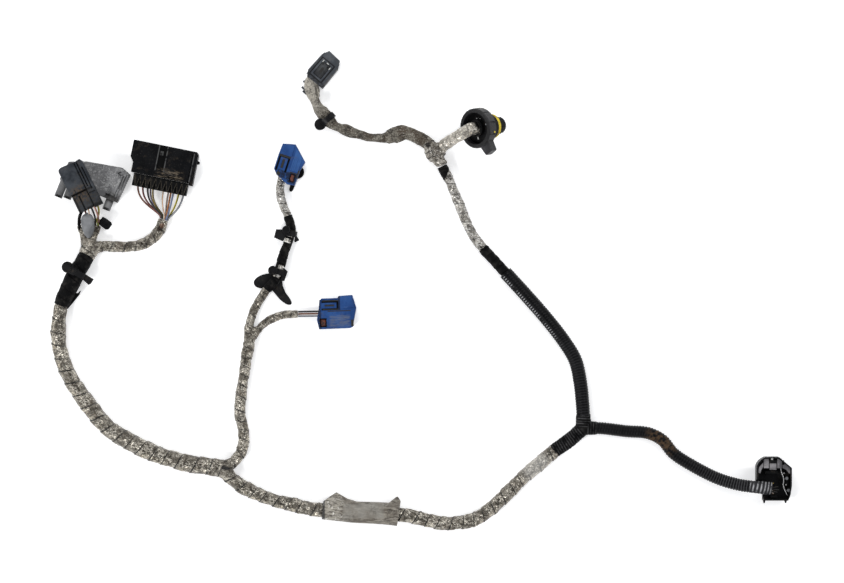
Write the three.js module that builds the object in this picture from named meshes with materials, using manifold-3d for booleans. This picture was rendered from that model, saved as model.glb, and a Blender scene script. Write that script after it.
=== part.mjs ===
// Vehicle wiring harness lying flat: foil-wrapped bundles, two corrugated tubes, connectors and clips.
// Millimetres, +Z up, floor at z = 0, origin under the middle of the harness.

import * as THREE from 'three';
import { mergeVertices } from 'three/addons/utils/BufferGeometryUtils.js';
import Module from 'manifold-3d';

const wasm = await Module();
wasm.setup();

// Overall reach along x and y, and the reach that the routes and connector places below are drawn at
const harness_length = 738.8;
const harness_width = 477.7;
const drawn_length = 738.8;
const drawn_width = 477.7;
const length_share = harness_length / drawn_length;
const width_share = harness_width / drawn_width;

// Clearances and stock
const seat_gap = 0.3;
const entry_gap = 0.55;
const floor_gap = 0.2;
const tape_thickness = 0.5;
const strap_thickness = 1.2;
const strap_width = 6;
const strap_slack = 0.6;
const wire_diameter = 1.9;
const wire_bore_radius = 1.65;
const cavity_size = 2.4;
const cavity_depth = 4;

// Bundle and tube diameters
const trunk_left_diameter = 17;
const trunk_right_diameter = 13.5;
const blue_branch_diameter = 11;
const blue_one_leg_diameter = 8.4;
const blue_two_leg_diameter = 7.2;
const black_leg_diameter = 10.5;
const grey_leg_diameter = 15;
const lower_tube_diameter = 14;
const upper_sleeve_diameter = 9.6;
const right_tube_diameter = 12.6;
const top_sleeve_diameter = 12;
const bayonet_sleeve_diameter = 12;

// Arc lengths along the branches where a covering starts or ends
const left_tape_length = 62;
const wrap_reach = 14;
const long_wrap_reach = 38;
const blue_wrap_reach = 21;
const blue_tape_start = 60;
const blue_tape_length = 80;
const upper_tube_end = 180;
const upper_tape_length = 34;
const patch_length = 15;
const patch_from_junction = 16;
const wrap_from_right_end = 22;
const left_clip_at = left_tape_length - 36;
const left_flap_at = left_tape_length - 12;
const blue_lower_clip_at = blue_tape_start + 22;
const blue_upper_clip_at = blue_tape_start + blue_tape_length - 18;
const top_clip_at = 119;
const upper_knot_radius = 10;
const label_start = 112;
const label_length = 76;
const label_width = 22;
const label_height = 16.4;

// Connector bodies
const black_width = 66;
const black_cover_length = 32;
const black_comb_length = 13;
const black_comb_width = 55;
const black_flange = 4;
const black_height = 24;
const black_pitch = 2.6;
const black_used_cavities = [-8, -6, -4, -3, -2, 2, 4, 5, 6, 8, 10];
const slate_width = 26;
const slate_length = 50;
const slate_cover_length = 30;
const slate_height = 16;
const grey_height = 17;
const port_outer = 8.2;
const port_bore = 4.8;
const blue_height = 20;
const blue_slide_height = 3;
const latch_depth = 3.2;
const top_height = 19;
const top_foot_height = 2.6;
const top_entry_end = -10;
const right_height = 26;
const right_wall = 1.6;
const right_deck = 12;

// Bayonet connector, measured along its axis from the rear rim
const bayonet_turn = THREE.MathUtils.degToRad(-80.5);
const bayonet_tilt = THREE.MathUtils.degToRad(-47.3);
const ring_rest_turn = THREE.MathUtils.degToRad(24);
const ring_radius = 20;
const ring_bore = 16;
const ring_depth = 11.2;
const flange_start = 5.8;
const flange_thickness = 3.4;
const flange_radius = 16.6;
const ring_front_bore = 14.4;
const body_radius = 13;
const seal_start = 22;
const seal_width = 4.5;
const seal_radius = 12.2;
const groove_radius = 9.5;
const nose_radius = 8;
const nose_end = 39.2;
const bayonet_bore_depth = 4;
const tab_reach = 29;
const tab_width = 11;

// Colours, roughness and metalness
const foil = { color: 0x8f8a82, roughness: 0.42, metalness: 0.55 };
const tape = { color: 0x17171a, roughness: 0.75, metalness: 0 };
const loom = { color: 0x1b1b1e, roughness: 0.45, metalness: 0 };
const black_plastic = { color: 0x161719, roughness: 0.5, metalness: 0 };
const slate_plastic = { color: 0x3a4048, roughness: 0.55, metalness: 0 };
const grey_plastic = { color: 0x7b7d7c, roughness: 0.5, metalness: 0 };
const blue_plastic = { color: 0x2a4f8e, roughness: 0.45, metalness: 0 };
const dirty_sleeve = { color: 0x776f63, roughness: 0.85, metalness: 0.05 };
const grey_tape = { color: 0x7c7e80, roughness: 0.6, metalness: 0 };
const orange_seal = { color: 0xb3482a, roughness: 0.6, metalness: 0 };
const yellow_seal = { color: 0xe3bd1c, roughness: 0.5, metalness: 0 };
const label_paper = { color: 0xa9a9a4, roughness: 0.6, metalness: 0 };

const harness = new THREE.Group();

// Solids and booleans

function toSolid(geometry) {
  const bare = geometry.clone();
  bare.deleteAttribute('normal');
  bare.deleteAttribute('uv');
  const merged = mergeVertices(bare, 0.0005);
  return new wasm.Manifold(new wasm.Mesh({
    numProp: 3,
    vertProperties: new Float32Array(merged.attributes.position.array),
    triVerts: new Uint32Array(merged.index.array),
  }));
}

function toGeometry(solid) {
  const mesh = solid.getMesh();
  const geometry = new THREE.BufferGeometry();
  geometry.setAttribute('position', new THREE.BufferAttribute(new Float32Array(mesh.vertProperties), 3));
  geometry.setIndex(new THREE.BufferAttribute(new Uint32Array(mesh.triVerts), 1));
  return geometry;
}

function joined(...geometries) {
  return toGeometry(geometries.map(toSolid).reduce((whole, one) => whole.add(one)));
}

function cut(base, ...tools) {
  return toGeometry(tools.map(toSolid).reduce((whole, tool) => whole.subtract(tool), toSolid(base)));
}

function block(x0, x1, y0, y1, z0, z1) {
  const box = new THREE.BoxGeometry(x1 - x0, y1 - y0, z1 - z0);
  return box.translate((x0 + x1) / 2, (y0 + y1) / 2, (z0 + z1) / 2);
}

function outline(points) {
  return new THREE.Shape(points.map(([x, y]) => new THREE.Vector2(x, y)));
}

// A flat-bottomed moulding of a plan outline, with a chamfer round its top and bottom edges.
function moulding(shape, z0, z1, chamfer = 0.7) {
  const settings = {
    depth: z1 - z0 - 2 * chamfer,
    bevelEnabled: chamfer > 0,
    bevelThickness: chamfer,
    bevelSize: chamfer,
    bevelOffset: -chamfer,
    bevelSegments: 1,
    curveSegments: 5,
  };
  return new THREE.ExtrudeGeometry(shape, settings).translate(0, 0, z0 + chamfer);
}

function rodAlongY(radius, y0, y1, x, z, sides = 12) {
  return new THREE.CylinderGeometry(radius, radius, y1 - y0, sides).translate(x, (y0 + y1) / 2, z);
}

function rodAlongZ(radius, z0, z1, x, y, sides = 12) {
  const rod = new THREE.CylinderGeometry(radius, radius, z1 - z0, sides).rotateX(Math.PI / 2);
  return rod.translate(x, y, (z0 + z1) / 2);
}

function addPiece(name, geometry, finish, parent = harness) {
  const mesh = new THREE.Mesh(geometry, new THREE.MeshStandardMaterial(finish));
  mesh.name = name;
  parent.add(mesh);
  return mesh;
}

// Routes of the branches

function restHeight(diameter) {
  return diameter / 2 + tape_thickness + floor_gap;
}

// Points are x, y and how far the bundle is lifted over its resting height there.
function branchRoute(diameter, first_height, points, tail = []) {
  const places = points.map(([x, y, lift = 0], i) => {
    const height = i === 0 ? first_height : restHeight(diameter) + lift;
    return new THREE.Vector3(x * length_share, y * width_share, height);
  });
  return new THREE.CatmullRomCurve3([...places, ...tail], false, 'centripetal');
}

// A stretch of a route between two arc lengths, with a length below zero counted from the far end.
class Stretch extends THREE.Curve {
  constructor(route, from, to) {
    super();
    this.route = route;
    const whole = route.getLength();
    this.start = (from < 0 ? whole + from : from) / whole;
    this.end = (to <= 0 ? whole + to : to) / whole;
  }

  getPoint(t, target = new THREE.Vector3()) {
    return target.copy(this.route.getPointAt(this.start + (this.end - this.start) * t));
  }
}

function roundSection(radius, sides) {
  const corners = [];
  for (let i = 0; i < sides; i += 1) {
    const angle = (2 * Math.PI * i) / sides;
    corners.push([radius * Math.cos(angle), radius * Math.sin(angle)]);
  }
  return outline(corners);
}

function tube(curve, diameter, sides = 10, step_diameters = 2, fewest_steps = 4) {
  const steps = Math.max(fewest_steps, Math.round(curve.getLength() / (diameter * step_diameters)));
  return new THREE.ExtrudeGeometry(roundSection(diameter / 2, sides), {
    steps,
    extrudePath: curve,
    bevelEnabled: false,
  });
}

function taped(route, from, to, diameter, sides = 10, fewest_steps = 4) {
  return tube(new Stretch(route, from, to), diameter + 2 * tape_thickness, sides, 1.1, fewest_steps);
}

// A taped junction: a short wrap along each leg, joined round a ball.
function junctionWrap(name, legs, finish, knot_radius = 0) {
  const centre = legs[0].route.getPointAt(0);
  const leg_radius = Math.max(...legs.map((leg) => leg.diameter)) / 2 + tape_thickness;
  const radius = Math.max(leg_radius, knot_radius);
  const flatness = Math.min(1, (centre.z - floor_gap) / radius);
  const ball = new THREE.SphereGeometry(radius, 8, 6).scale(1, 1, flatness);
  ball.translate(centre.x, centre.y, centre.z);
  const stubs = legs.map((leg) => taped(leg.route, leg.from ?? 0, leg.reach, leg.diameter, 8, 2));
  addPiece(name, joined(ball, ...stubs), finish);
}

// A group that stands on the floor at a place on a route, its +Y along the route or back along it.
function stationOn(route, at, facing = 1) {
  const along = at / route.getLength();
  const place = route.getPointAt(along);
  const heading = route.getTangentAt(along).multiplyScalar(facing);
  const group = new THREE.Group();
  group.position.set(place.x, place.y, 0);
  group.rotation.z = Math.atan2(heading.y, heading.x) - Math.PI / 2;
  harness.add(group);
  return { group, height: place.z };
}

function placedGroup(x, y, z, degrees) {
  const group = new THREE.Group();
  group.position.set(x * length_share, y * width_share, z);
  group.rotation.z = THREE.MathUtils.degToRad(degrees);
  harness.add(group);
  group.updateMatrixWorld(true);
  return group;
}

function pointIn(group, x, y, z) {
  return group.localToWorld(new THREE.Vector3(x, y, z));
}

// Connectors. Each lies in its own group, its +Y towards the mating end.

const black_group = placedGroup(-260.8, 114, 0, -11.5);
const slate_group = placedGroup(-329, 82.5, grey_height + seat_gap, 25.9);
const grey_group = placedGroup(-304, 89, 0, -22);
const small_group = placedGroup(-321, 72, 4, -127);
const blue_one_group = placedGroup(-132, 128, blue_slide_height + seat_gap, -18);
const blue_two_group = placedGroup(-85, -20, 0, -88);
const top_group = placedGroup(-99, 222, 0, -40);
const right_group = placedGroup(350.5, -187, 0, 0);
const bayonet_group = placedGroup(52.4, 162.4, 33.7, 0);
bayonet_group.rotation.set(bayonet_tilt, 0, bayonet_turn, 'ZXY');
bayonet_group.updateMatrixWorld(true);

const black_wire_height = black_height / 2;

function cavityGrid(columns, rows, pitch, front, middle_height, middle_x = 0) {
  const cavities = [];
  for (let column = 0; column < columns; column += 1) {
    for (let row = 0; row < rows; row += 1) {
      const x = middle_x + (column - (columns - 1) / 2) * pitch;
      const z = middle_height + (row - (rows - 1) / 2) * pitch;
      const half = cavity_size / 2;
      cavities.push(block(x - half, x + half, front - cavity_depth, front + 8, z - half, z + half));
    }
  }
  return cavities;
}

function blackHousing() {
  const half = black_width / 2;
  const length = black_cover_length;
  const flange = black_flange;
  const shape = outline([
    [-half, length],
    [half - 2, length],
    [half, length - 2.5],
    [half, -2],
    [half - flange, -2],
    [half - flange, 0],
    [-half + 3.5, 0],
    [-half + 3.5, length - 22],
    [-half, length - 17],
  ]);
  const rib = (x, y0, y1) => block(x - 0.5, x + 0.5, y0, y1, black_height - 1, black_height + 0.7);
  const nub_shape = outline([[half - 1, 20], [half + 2.4, 20.5], [half + 2.4, 23], [half - 1, 24.5]]);
  const body = joined(
    moulding(shape, 0, black_height),
    rib(-6.3, 5, length - 1),
    rib(2.3, 7, length - 1),
    rib(half - flange + 0.2, 0, length - 1),
    moulding(nub_shape, 9, 15, 0.4),
  );
  return cut(
    body,
    block(-5.6, 1.6, 8, length + 1, black_height - 1.2, black_height + 2),
    block(half - flange - 1.6, half - flange - 0.6, -1, length - 3, black_height - 2.2, black_height + 2),
    block(7, 14, 1.5, 3.5, black_height - 2.5, black_height + 2),
    ...cavityGrid(11, 2, 5.2, length, black_height / 2),
  );
}

function rowHeight(k) {
  return ((k % 3) - 1) * black_pitch;
}

function blackComb() {
  const right = black_width / 2 - black_flange - seat_gap;
  const left = right - black_comb_width;
  const back = -black_comb_length;
  const top = black_height - 2.5;
  const slab = moulding(outline([[left, back], [right, back], [right, -3], [right - 1, -seat_gap],
    [left, -seat_gap]]), 2, top, 0.5);
  const vee_pitch = 5.3;
  const vees = [];
  for (let i = -4; i <= 4; i += 1) {
    const x = 1.5 + i * vee_pitch;
    const wedge = outline([[x - 2, back - 1], [x + 2, back - 1], [x, -2.2]]);
    vees.push(moulding(wedge, top - 2, top + 1, 0));
  }
  const bores = black_used_cavities.map((place, k) => rodAlongY(
    wire_bore_radius, back - 1, back + cavity_depth,
    place * black_pitch, black_wire_height + rowHeight(k), 8));
  return cut(slab, ...vees, ...bores);
}

function slateHousing() {
  const half = slate_width / 2;
  const rail = moulding(outline([[half - 8.5, 0], [half, 0], [half, slate_length - 3],
    [half - 2, slate_length], [half - 8.5, slate_length - 1]]), 0, slate_height - 1.4, 0.8);
  const base = moulding(outline([[-half + 0.8, 2], [half - 1, 2], [half - 1, slate_length - 1.5],
    [-half + 4, slate_length - 1.5], [-half + 0.8, slate_length - 5]]), 0, slate_height - 5.6, 0.6);
  const cover_back = slate_length - slate_cover_length;
  const step_front = cover_back - 2 * seat_gap;
  const step = moulding(outline([[-half + 3, 1], [half - 9, 1], [half - 9, step_front],
    [-half + 1, step_front]]), 1, slate_height - 3.5, 0.5);
  const top = slate_height - 1.4;
  return cut(
    joined(rail, base, step),
    block(half - 6.6, half - 5.2, 22, slate_length - 2, top - 3, top + 1),
    block(half - 3.6, half - 2.4, 18, slate_length - 8, top - 3, top + 1),
    block(half - 7.6, half - 1.4, 14.5, 16, top - 1.6, top + 1),
    block(-half + 7, -half + 8.2, -1, 17, slate_height - 6, slate_height),
    ...slateExits().map(([x, z]) => rodAlongY(wire_bore_radius, -1, cavity_depth, x, z, 8)),
    ...cavityGrid(3, 2, 4.4, slate_length - 1, 5.4, -2),
  );
}

function slateExits() {
  const exits = [];
  for (let k = 0; k < 5; k += 1) {
    exits.push([-6.4 + 3.4 * k, 5.2 + 1.6 * ((k % 2) * 2 - 1)]);
  }
  return exits;
}

function slateCover() {
  const half = slate_width / 2;
  const back = slate_length - slate_cover_length;
  const shape = new THREE.Shape();
  shape.moveTo(-half, back);
  shape.lineTo(half - 8.9, back);
  shape.lineTo(half - 8.9, slate_length - 0.6);
  shape.lineTo(-half + 5, slate_length);
  shape.quadraticCurveTo(-half, slate_length, -half, slate_length - 4);
  const lid = moulding(shape, slate_height - 5.6 + seat_gap, slate_height, 0.8);
  return cut(lid, block(-half + 6, -half + 7, back - 1, back + 4, slate_height - 1, slate_height + 1));
}

function greyHousing() {
  const body = moulding(outline([[0, 0], [1.5, 30.8], [-8.5, 34.3], [-43, 27], [-60, 20], [-62, 0]]),
    0, grey_height, 1);
  const middle = grey_height / 2;
  const ports = [
    { x: -57, reach: 17, z: middle + 2.5 },
    { x: -48.2, reach: 15, z: middle + 2.5 },
    { x: -8, reach: 11, z: middle },
  ];
  const tubes = ports.map(({ x, reach, z }) => rodAlongY(port_outer / 2, -reach, 3, x, z, 14));
  const bores = ports.map(({ x, reach, z }) => rodAlongY(port_bore / 2, -reach - 1, -1, x, z, 12));
  const groove = (inset) => moulding(outline([[-inset, 4], [-inset + 1, 4], [-inset + 2.3, 27],
    [-inset + 1.3, 27]]), grey_height - 1.5, grey_height + 1, 0);
  return cut(
    joined(body, ...tubes),
    ...bores,
    groove(3.4),
    groove(5.6),
    block(-14, -2, -1, 5, grey_height - 3, grey_height + 1),
    ...cavityGrid(4, 2, 5, 27, middle, -26),
  );
}

function smallPlug() {
  const shell = moulding(outline([[-4, 0], [4, 0], [4.6, 4], [4.6, 10], [3, 12], [-3, 12], [-4.6, 10],
    [-4.6, 4]]), 0, 8, 0.6);
  return cut(shell, block(-1.6, 1.6, 3, 9, 7, 9), ...cavityGrid(2, 1, 3.6, 12, 4),
    rodAlongY(wire_bore_radius, -1, 3, 0, 4, 8));
}

// The latch is moulded with the housing: a window frame sprung in a recess of its top face.
function latchRecess(x0, x1, y0, y1, top) {
  const arm = 2;
  const floor = top - latch_depth;
  const middle = (x0 + x1) / 2;
  return [
    block(x0, x0 + arm, y0, y1, floor, top + 2),
    block(x1 - arm, x1, y0, y1, floor, top + 2),
    block(x0, x1, y1 - arm, y1, floor, top + 2),
    block(middle - 1.5, middle + 1.5, y0 + 3, y1 - arm - 2.5, floor - 1, top + 2),
  ];
}

function blueOneHousing() {
  const shape = outline([[-12.5, 17], [0, 20], [14.5, 6], [12.2, -3], [11.5, -19], [4, -20.5],
    [-8.8, -14.5], [-13.2, -9.5], [-13.2, 6]]);
  const top = blue_height - blue_slide_height;
  const rib = (x) => block(x - 0.5, x + 0.5, -6, 7, top - 1, top + 0.6);
  const latch = latchRecess(-12, -0.5, -10, 6, top);
  const entry_height = restHeight(blue_one_leg_diameter) + 1.3;
  const entry = rodAlongY(blue_one_leg_diameter / 2 + 1, -22, -10, -3, entry_height, 14);
  return cut(
    joined(moulding(shape, 0, top, 1), rib(3), rib(6.4), rib(9.8)),
    ...latch,
    entry,
    block(4.5, 9.5, -17, -9, top - 5, top + 2),
    ...cavityGrid(2, 2, 5, 18.6, top / 2, -3),
  );
}

function blueOneSeal() {
  const top = blue_height - blue_slide_height;
  const shape = outline([[5, -16.5], [9, -16.5], [9, -9.5], [5, -9.5]]);
  return moulding(shape, top - 5 + seat_gap, top - 1.5, 0.5);
}

function blueOneSlide() {
  const shape = new THREE.Shape();
  shape.moveTo(-6, -8);
  shape.lineTo(6, -8);
  shape.lineTo(7, -24.5);
  shape.quadraticCurveTo(9, -28, 11, -24.5);
  shape.lineTo(12, -12);
  shape.quadraticCurveTo(19, -8, 15, -1);
  shape.lineTo(8, 4);
  shape.lineTo(-6, 4);
  return moulding(shape, -blue_slide_height - seat_gap, -seat_gap, 0.5);
}

function blueTwoHousing() {
  const shape = outline([[-12.8, -16.8], [-13, 0.5], [-16, 2.5], [-16.6, 16], [-3.5, 19.6], [15.3, 15.5],
    [16.4, 13], [16.6, -18], [7, -20], [-3, -18]]);
  const top = blue_height;
  const cover = moulding(outline([[-15.6, 3], [-15.8, 15], [-4, 18], [-3, 3]]), top - 1.5, top + 1, 0.5);
  const latch = latchRecess(-11.5, -2, -15, 2, top);
  const window = block(6, 14.5, -17, -10.5, top - 6, top + 2);
  const entry = rodAlongY(5, -21, -14, 1, restHeight(blue_two_leg_diameter) + 1.5, 12);
  return cut(
    joined(moulding(shape, 0, top, 1), cover),
    ...latch,
    window,
    entry,
    ...cavityGrid(2, 2, 5.4, 17.4, top / 2, 4),
  );
}

function blueTwoSeal() {
  const top = blue_height - 6 + seat_gap;
  return moulding(outline([[6.5, -16.5], [14, -16.5], [14, -11], [6.5, -11]]), top, top + 3.4, 0.6);
}

function topHousing() {
  const shape = outline([[-6.6, 18.3], [7.5, 17.5], [11.8, 9.5], [12.3, -14.8], [-7.3, -15.5],
    [-11, -9.7], [-10.2, 11]]);
  const frame_shape = outline([[-7, -11], [7, -11], [7, 9], [-7, 9]]);
  const frame = moulding(frame_shape, top_height - 2, top_height + 1.6, 0.6);
  const foot = moulding(outline([[-5, -12], [4, -12], [4, -30], [-2, -30], [-2, -27.6], [-5.4, -27.6],
    [-5.4, -25.6], [-2, -25.6], [-2, -22], [-8, -22], [-8, -20], [-5, -20]]), 0, top_foot_height, 0.3);
  const entry = rodAlongY(top_sleeve_diameter / 2 + 1.4, -18, top_entry_end, 0, topEntryHeight(), 14);
  return cut(
    joined(moulding(shape, 0, top_height, 1), frame, foot),
    block(-5, 5, -9, 7, top_height - 1.4, top_height + 3),
    entry,
    ...cavityGrid(3, 2, 4.6, 17.6, top_height / 2),
  );
}

function topEntryHeight() {
  return restHeight(top_sleeve_diameter) + top_foot_height;
}

function topLock() {
  const base = top_height - 1.4 + seat_gap;
  const shape = outline([[-4.5, -8.5], [4.5, -8.5], [4.5, 6.5], [-4.5, 6.5]]);
  const plate = moulding(shape, base, base + 2.4, 0.4);
  return cut(
    plate,
    block(-3.4, -2.2, -6, 5, base - 1, base + 3),
    block(2.2, 3.4, -6, 5, base - 1, base + 3),
    block(-0.9, 0.9, -5, 0, base + 1, base + 3),
  );
}

function rightOutline(inset) {
  const shape = new THREE.Shape();
  const left = -17.4 + inset;
  const right = 17.6 - inset;
  const top = 22.6 - inset;
  const bottom = -20.6 + inset;
  shape.moveTo(-10.6, bottom);
  shape.lineTo(14, bottom);
  shape.lineTo(right - 1.4, -15);
  shape.lineTo(right, -6);
  shape.lineTo(right, 12);
  shape.lineTo(5 - inset / 2, top);
  shape.lineTo(-9, top);
  shape.quadraticCurveTo(left, top - 4, left, 12);
  shape.lineTo(left, -2);
  shape.lineTo(-10.6, -8);
  return shape;
}

function rightHousing() {
  const shell = moulding(rightOutline(0), 0, right_height, 0.6);
  const hollow = moulding(rightOutline(right_wall), right_deck, right_height + 2, 0);
  const foot = (x) => moulding(outline([[x - 1.4, -20], [x + 1.4, -20], [x + 0.6, -23.6], [x - 0.6, -23.6]]),
    right_deck - 6, right_deck, 0.3);
  const eyelet = rodAlongZ(1.3, right_height - 3, right_height + 2, -2, 20.9, 10);
  const mouth = block(-20, -8, -16.5, 0.2, right_deck - 1, right_height + 2);
  const beam = block(-10.8, 10, 15, 19.5, right_height - 3, right_height - 1);
  const window = (x, y) => rodAlongZ(0.9, -1, right_deck + 1, x, y, 8);
  return cut(
    joined(cut(shell, hollow), foot(-9), foot(12.4), beam),
    eyelet,
    mouth,
    window(11, 6),
    window(13, -5.5),
    ...rightCavities(),
  );
}

function rightCavities() {
  const cavities = [];
  const half = cavity_size / 2;
  for (const x of [-5, 0, 5]) {
    for (const y of [-6, 6]) {
      cavities.push(block(x - half, x + half, y - half, y + half, -1, cavity_depth));
    }
  }
  return cavities;
}

// A spring-steel blade standing across the open back of the right connector.
function rightBlade() {
  const path = new THREE.CatmullRomCurve3([
    new THREE.Vector3(6.3, 17.4 - right_wall, 0),
    new THREE.Vector3(7.2, 8, 0),
    new THREE.Vector3(9.6, 1, 0),
    new THREE.Vector3(9.2, -6, 0),
    new THREE.Vector3(13, -15, 0),
  ]);
  const half = 0.35;
  const side = path.getPoints(10);
  const near_edge = side.map((p) => [p.x - half, p.y]);
  const far_edge = side.reverse().map((p) => [p.x + half, p.y]);
  const shape = outline([...near_edge, ...far_edge]);
  return moulding(shape, right_deck + seat_gap, right_height - 3 - seat_gap, 0);
}

// Bayonet pieces, turned round the axis of the connector, which is the group's +Y.

function turned(profile, segments = 24) {
  return new THREE.LatheGeometry(profile.map(([r, s]) => new THREE.Vector2(r, s)), segments);
}

function bayonetRing() {
  const groove_end = flange_start + flange_thickness + seat_gap;
  const shell = turned([
    [ring_bore, 0],
    [ring_radius - 0.8, 0],
    [ring_radius, 0.8],
    [ring_radius, ring_depth - 1.4],
    [ring_radius - 1.6, ring_depth],
    [ring_front_bore, ring_depth],
    [ring_front_bore, groove_end],
    [flange_radius + seat_gap, groove_end],
    [flange_radius + seat_gap, flange_start - seat_gap],
    [ring_bore, flange_start - seat_gap],
    [ring_bore, 0],
  ]);
  const half = tab_width / 2;
  const lever = new THREE.Shape([
    new THREE.Vector2(ring_radius - 2.4, -half - 1),
    new THREE.Vector2(tab_reach - 1, -half + 0.5),
    new THREE.Vector2(tab_reach, -half + 1.5),
    new THREE.Vector2(tab_reach, half - 1.5),
    new THREE.Vector2(tab_reach - 1, half - 0.5),
    new THREE.Vector2(ring_radius - 2.4, half + 1),
  ]);
  const tab = moulding(lever, -ring_depth + 1.5, -1.5, 0.5).rotateX(Math.PI / 2);
  const grips = [];
  const grip_count = 9;
  for (let i = 0; i < grip_count; i += 1) {
    const angle = THREE.MathUtils.degToRad(40 + (280 * i) / (grip_count - 1));
    const grip = rodAlongY(1, 0.8, ring_depth - 2.4, 0, 0, 8);
    grips.push(grip.translate(ring_radius * Math.cos(angle), 0, ring_radius * Math.sin(angle)));
  }
  return cut(joined(shell, tab), ...grips).rotateY(-ring_rest_turn);
}

function bayonetPlug() {
  const bore = bayonet_sleeve_diameter / 2 + 0.6;
  const neck = bore + 2;
  const flange_end = flange_start + flange_thickness;
  const body = turned([
    [0, bayonet_bore_depth + seat_gap],
    [bore, bayonet_bore_depth + seat_gap],
    [bore, 1],
    [neck, 1],
    [neck, flange_start],
    [flange_radius, flange_start],
    [flange_radius, flange_end],
    [body_radius, flange_end],
    [body_radius, seal_start],
    [groove_radius, seal_start],
    [groove_radius, seal_start + seal_width],
    [groove_radius + 1.5, seal_start + seal_width],
    [nose_radius, seal_start + seal_width + 2.6],
    [nose_radius, nose_end - 1],
    [nose_radius - 1, nose_end],
    [0, nose_end],
  ]);
  const keys = [];
  const key_count = 3;
  for (let i = 0; i < key_count; i += 1) {
    const key = block(nose_radius - 1, nose_radius + 1, seal_start + seal_width + 2, nose_end - 2, -1.2, 1.2);
    keys.push(key.rotateY((2 * Math.PI * i) / key_count + 0.5));
  }
  const pins = [];
  const pin_count = 6;
  for (let i = 0; i < pin_count; i += 1) {
    const pin = rodAlongY(0.9, nose_end - cavity_depth, nose_end + 1, 4.6, 0, 8);
    pins.push(pin.rotateY((2 * Math.PI * i) / pin_count));
  }
  return cut(joined(body, ...keys), ...pins);
}

function bayonetSeal() {
  const inner = groove_radius + seat_gap;
  const lip = (seal_width - 2 * seat_gap) / 4;
  const from = seal_start + seat_gap;
  return turned([
    [inner, from],
    [seal_radius, from],
    [seal_radius, from + lip],
    [seal_radius - 0.8, from + 2 * lip],
    [seal_radius, from + 3 * lip],
    [seal_radius, from + 4 * lip],
    [inner, from + 4 * lip],
    [inner, from],
  ]);
}

function addConnectors() {
  addPiece('black_housing', blackHousing(), black_plastic, black_group);
  addPiece('black_wire_comb', blackComb(), black_plastic, black_group);
  addPiece('slate_housing', slateHousing(), slate_plastic, slate_group);
  addPiece('slate_cover', slateCover(), slate_plastic, slate_group);
  addPiece('grey_housing', greyHousing(), grey_plastic, grey_group);
  addPiece('small_plug', smallPlug(), black_plastic, small_group);
  addPiece('blue_one_housing', blueOneHousing(), blue_plastic, blue_one_group);
  addPiece('blue_one_seal', blueOneSeal(), orange_seal, blue_one_group);
  addPiece('blue_one_slide', blueOneSlide(), black_plastic, blue_one_group);
  addPiece('blue_two_housing', blueTwoHousing(), blue_plastic, blue_two_group);
  addPiece('blue_two_seal', blueTwoSeal(), orange_seal, blue_two_group);
  addPiece('top_housing', topHousing(), slate_plastic, top_group);
  addPiece('top_lock', topLock(), black_plastic, top_group);
  addPiece('right_housing', rightHousing(), black_plastic, right_group);
  addPiece('right_blade', rightBlade(), { color: 0x9a9a9c, roughness: 0.4, metalness: 0.9 }, right_group);
  addPiece('bayonet_ring', bayonetRing(), black_plastic, bayonet_group);
  addPiece('bayonet_plug', bayonetPlug(), black_plastic, bayonet_group);
  addPiece('bayonet_seal', bayonetSeal(), yellow_seal, bayonet_group);
}

// Branch routes, chosen along the middle of each bundle

const left_height = restHeight(trunk_left_diameter);
const left_trunk_route = branchRoute(trunk_left_diameter, left_height, [
  [-332, 42], [-338, 30, 2], [-346, 17, 2.4], [-353, 2, 2], [-360, -14], [-363, -38], [-360, -64],
  [-349, -89], [-333, -113], [-312, -136], [-287, -152], [-262, -163], [-232, -171], [-200, -176],
]);
const right_trunk_route = branchRoute(trunk_right_diameter, left_height, [
  [-200, -176], [-186, -190], [-162, -203], [-131, -212], [-106, -217, 1.4], [-72, -219, 1.6],
  [-28, -221, 1.4], [8, -228], [31, -231], [56, -225], [75, -211], [95, -191], [114, -174], [130, -160],
  [146, -149], [161, -136],
]);
const blue_branch_route = branchRoute(blue_branch_diameter, left_height, [
  [-200, -176], [-186, -168], [-179, -155], [-178, -140], [-182, -120], [-180, -98], [-177, -76],
  [-173, -53],
]);
const blue_junction_height = restHeight(blue_branch_diameter);
const blue_one_route = branchRoute(blue_one_leg_diameter, blue_junction_height, [
  [-173, -53], [-173, -38], [-169, -21], [-162, -8, 1], [-155, 2, 3], [-147, 11, 3.4], [-142, 24, 2.4],
  [-138, 38, 1.6], [-133, 52, 2.2], [-131, 64, 1.6], [-134, 76], [-138, 85], [-141, 96, 1],
  [-141.5, 105, 2.6],
], [
  pointIn(blue_one_group, -3, -16, restHeight(blue_one_leg_diameter) + 1.3),
  pointIn(blue_one_group, -3, -10 - seat_gap, restHeight(blue_one_leg_diameter) + 1.3),
]);
const blue_two_route = branchRoute(blue_two_leg_diameter, blue_junction_height, [
  [-173, -53], [-166, -40], [-154, -29], [-139, -23], [-124, -22],
]);
const black_leg_route = branchRoute(black_leg_diameter, left_height, [
  [-332, 42], [-317, 46], [-300, 45], [-282, 47], [-268, 55], [-261, 64], [-258, 72],
]);
const grey_leg_route = branchRoute(grey_leg_diameter, left_height, [[-332, 42], [-333, 52], [-334, 64]]);
const right_junction_height = restHeight(lower_tube_diameter);
const upper_drop = (upper_sleeve_diameter - lower_tube_diameter) / 2;
const upper_route = branchRoute(lower_tube_diameter, right_junction_height, [
  [161, -136], [161, -123], [160, -108], [158, -90], [153, -68], [141, -48], [123, -25], [101, 0], [79, 24],
  [58, 47, upper_drop / 2], [49, 60, upper_drop], [41, 78, upper_drop], [34, 95, upper_drop],
  [27, 112, upper_drop], [20, 126, upper_drop / 2], [13, 140, upper_drop / 2],
]);
const right_entry_height = right_deck + seat_gap + right_tube_diameter / 2;
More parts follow.
